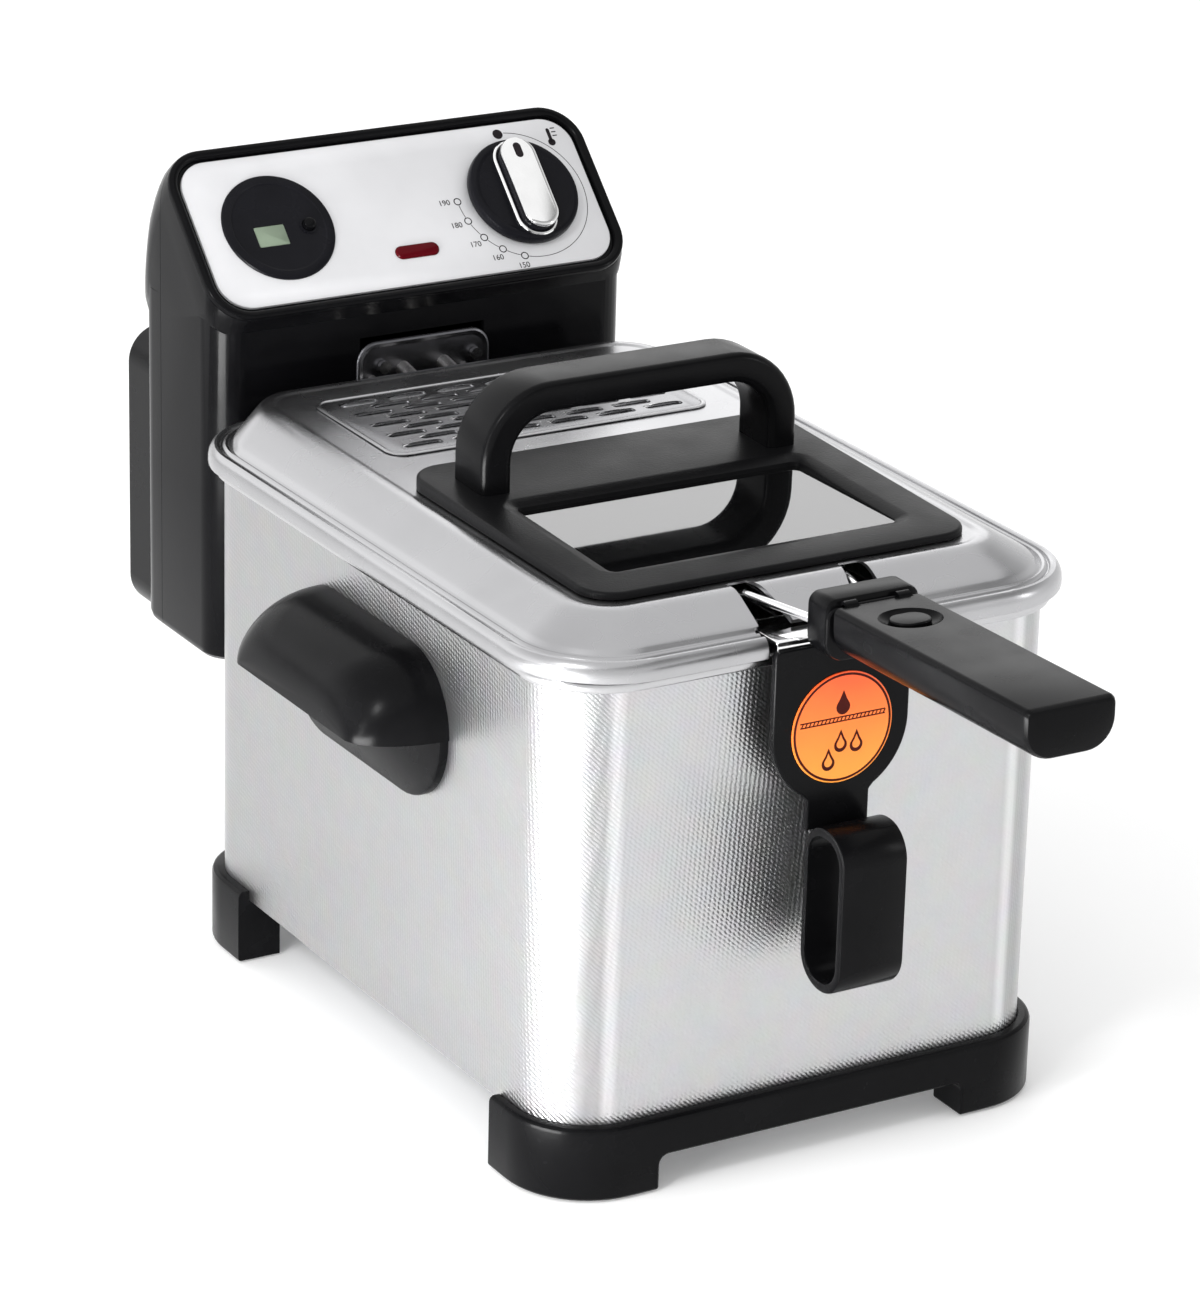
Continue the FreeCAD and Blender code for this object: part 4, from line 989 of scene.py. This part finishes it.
def numeral(word, x, s, height):
    """A printed number lying on the panel."""
    curve = bpy.data.curves.new("numeral_" + word, "FONT")
    curve.body, curve.size, curve.extrude = word, height * MM, 0.00005
    curve.align_x, curve.align_y = "CENTER", "CENTER"
    text = link("numeral_" + word, curve)
    flat = evaluated_mesh(text)
    bpy.data.objects.remove(text)
    px, py, pz = on_panel(x, s, 0.82)
    flat.transform(Matrix.Translation((px * MM, (py + SHIFT) * MM, pz * MM)) @ Matrix.Rotation(LEAN, 4, "X"))
    flat.name = "numeral_" + word
    finish_piece(link("numeral_" + word, flat), "ink", "control_head", slot="panel_silver")


def stadium(width, length, d=0.0, cs=0.0):
    """Round-ended bar across the knob."""
    w, h = width / 2 - d, length / 2 - d
    return rect(KNOB_X - w, KNOB_X + w, cs - h, cs + h, w - 0.01, 12)


def make_knob():
    steps = ((23.6, 1.2), (24.3, 1.5), (24.5, 2.2), (24.4, 4.6), (24.0, 5.5), (23.2, 5.95), (21.5, 6.05),
             (20.9, 5.85), (20.2, 5.8))
    disc = panel_loft("knob_disc", lambda r: round_line(r, 72, KNOB_X), steps)
    finish_piece(disc, "dial_plastic", "temperature_knob", "knob_body")
    core = panel_loft("knob_core", lambda d: stadium(15.2, 42.2, d), ((0, 5.7), (0, 10.5)))
    finish_piece(core, "dial_plastic", "temperature_knob", "knob_body")
    steps = ((0, 5.6), (0, 6.3), (0.3, 6.7), (0.9, 6.9), (1.5, 6.7), (1.9, 6.2), (1.9, 5.6))
    skirt = panel_loft("knob_skirt", lambda d: stadium(19.0, 46.0, d), steps, loop=True)
    finish_piece(skirt, "bright_steel", "temperature_knob", slot="bright_steel")
    steps = ((0.5, 10.4), (0, 10.6), (0, 11.2), (0.25, 11.7), (0.8, 12.0), (1.6, 12.1))
    cap = panel_loft("knob_grip_cap", lambda d: stadium(16.0, 43.0, d), steps)
    cut(cap, panel_cutter("slot", stadium(3.6, 7.2, 0.0, 15.0), 11.2, 14))
    finish_piece(cap, "bright_steel", "temperature_knob", "knob_grip_insert")
    mark = panel_cutter("knob_pointer", stadium(3.5, 7.1, 0.0, 15.0), 11.22, 11.8)
    finish_piece(mark, "ink", "temperature_knob", slot="dial_plastic")


def make_timer():
    steps = ((24.5, -0.65), (24.5, 1.2), (24.2, 1.65), (23.6, 1.8), (20.8, 1.8), (20.4, 1.55), (19.8, 1.5))
    disc = panel_loft("timer_face", lambda r: round_line(r, 72, TIMER_X), steps)
    cut(disc, panel_cutter("key_hole", round_line(2.9, 32, KEY_X, KEY_S), -4, 4),
        panel_cutter("display_hole", rect(-67.4, -53.5, -8.4, 1.2, 0.6, 4), 0.2, 4))
    finish_piece(disc, "dial_plastic", "control_head", "timer_disc")
    lcd = panel_loft("display_glass", lambda d: rect(-67.3 + d, -53.6 - d, -8.3 + d, 1.1 - d, 0.5, 4),
                     ((0, 0.25), (0, 1.3), (0.2, 1.42)))
    finish_piece(lcd, "display", "control_head", "timer_display")

    def key_line(r):
        return round_line(r, 40, KEY_X, KEY_S)

    steps = ((2.7, -6), (2.72, 3.2), (2.5, 3.9), (2.0, 4.25), (1.2, 4.4))
    key = panel_loft("timer_key_cap", key_line, steps)
    finish_piece(key, "head_plastic", "timer_key", "timer_button")
    ring = gather("timer_key_ring", [flat_ring(key_line(3.9), key_line(3.0), on_panel, 1.3, 1.95)])
    finish_piece(ring, "dial_plastic", "control_head", slot="dial_plastic")


def make_seat_plate():
    """Plate the element hangs on, with a raised rolled edge."""
    steps = ((0, 159.5), (0, 158.5), (0.35, 158.0), (1.1, 157.75), (1.9, 158.0), (2.5, 158.35), (3.2, 158.4))
    rings = [[(x, y, z) for x, z in rect(-33 + d, 29 - d, 150 + d, 238 - d, 9 - d, 8)] for d, y in steps]
    finish_piece(loft("seat_plate_pressing", rings), "dark_steel", "control_head", "element_seat_plate",
                 slot="zinc_steel")


# ------------------------------------------------------------------ the pieces kept from the CAD

# Screws that stand in front of black plastic are satin, or they would mirror only black
OTHER_FINISH = {"element_seat_screws": "steel_bowl"}


def dress_rest():
    """Every CAD node still shown gets the finish of its record slot."""
    for part in frame["record"]["subparts"]:
        obj = frame["nodes"][part["node"]]
        if not obj.hide_render:
            obj.data.materials.clear()
            obj.data.materials.append(MATERIALS[OTHER_FINISH.get(part["node"], part["material_slot"])])


def make_floor():
    mesh = bpy.data.meshes.new("studio_floor")
    mesh.from_pydata([(-40, -40, 0), (40, -40, 0), (40, 40, 0), (-40, 40, 0)], [], [(0, 1, 2, 3)])
    pale = new_material("floor_finish", (0.93, 0.93, 0.93), 0.0, 0.75, Specular_IOR_Level=0.2,
                        Emission_Color=(1, 1, 1, 1), Emission_Strength=0.12)
    tint(pale, vary(pale, 3.0, 0.7, 0.8), (0.93, 0.93, 0.93), (0.95, 0.95, 0.95))
    mesh.materials.append(pale)
    link("studio_floor", mesh)


def make_world():
    """Bright near the horizon, grey overhead."""
    world = bpy.data.worlds.new("studio_world")
    world.use_nodes = True
    bpy.context.scene.world = world
    split, ramp = node(world, "SeparateXYZ"), node(world, "ValToRGB")
    for element, (height, value) in zip(ramp.color_ramp.elements, ((0.30, 1.0), (0.75, 0.30))):
        element.position, element.color = height, (value, value, value, 1)
    wire(world, node(world, "TexCoord"), split, "Generated")
    wire(world, split, ramp, "Z")
    wire(world, ramp, world.node_tree.nodes["Background"], "Color", "Color")


def make_lights():
    sky = bpy.data.lights.new("soft_sky", "SUN")
    sky.energy, sky.angle = 1.75, math.radians(120)
    link("soft_sky", sky).rotation_euler = (math.radians(-14), math.radians(-18), 0)
    for name, place, size, power in (("key_panel", (-1.7, -0.9, 1.9), (0.3, 0.3), 14),
                                     ("fill_panel", (2.2, -1.8, 1.1), (0.25, 0.9), 5),
                                     ("edge_strip", (-2.0, -0.5, 0.5), (0.1, 0.9), 7),
                                     ("low_strip", (-0.66, -0.22, 0.07), (0.42, 0.12), 7),
                                     ("rear_panel", (1.6, 2.7, 1.4), (2.0, 0.9), 6.5)):
        data = bpy.data.lights.new(name, "AREA")
        data.shape, data.size, data.size_y, data.energy = "RECTANGLE", size[0], size[1], power
        light = link(name, data)
        light.location, light.visible_camera = place, False
        light.rotation_euler = (Vector((0, 0, 0.15)) - Vector(place)).to_track_quat("-Z", "Y").to_euler()


def make_camera():
    back, right = Vector((-0.4799, -0.8006, 0.3588)), Vector((0.8577, -0.5142, 0))
    up, roll = Vector((0.1845, 0.3077, 0.9335)), math.radians(1.53)
    across = right * math.cos(roll) + up * math.sin(roll)
    above = up * math.cos(roll) - right * math.sin(roll)
    matrix = Matrix((across, above, back)).transposed().to_4x4()
    matrix.translation = (-0.9950, -1.62773, 0.8916)
    data = bpy.data.cameras.new("camera")
    data.lens, data.sensor_width, data.clip_start = 144.8, 36.0, 0.05
    camera = link("camera", data)
    camera.matrix_world = matrix
    bpy.context.scene.camera = camera
    bpy.context.scene.view_settings.view_transform = "Standard"


make_casing()
make_bowl()
make_feet()
make_side_handle(1, "right")
make_side_handle(-1, "left")
make_filter()
make_basket()
make_grip()
make_lid_shell()
make_grille()
make_window()
make_arch()
make_head()
make_seat_plate()
dress_rest()
make_floor()
make_world()
make_lights()
make_camera()
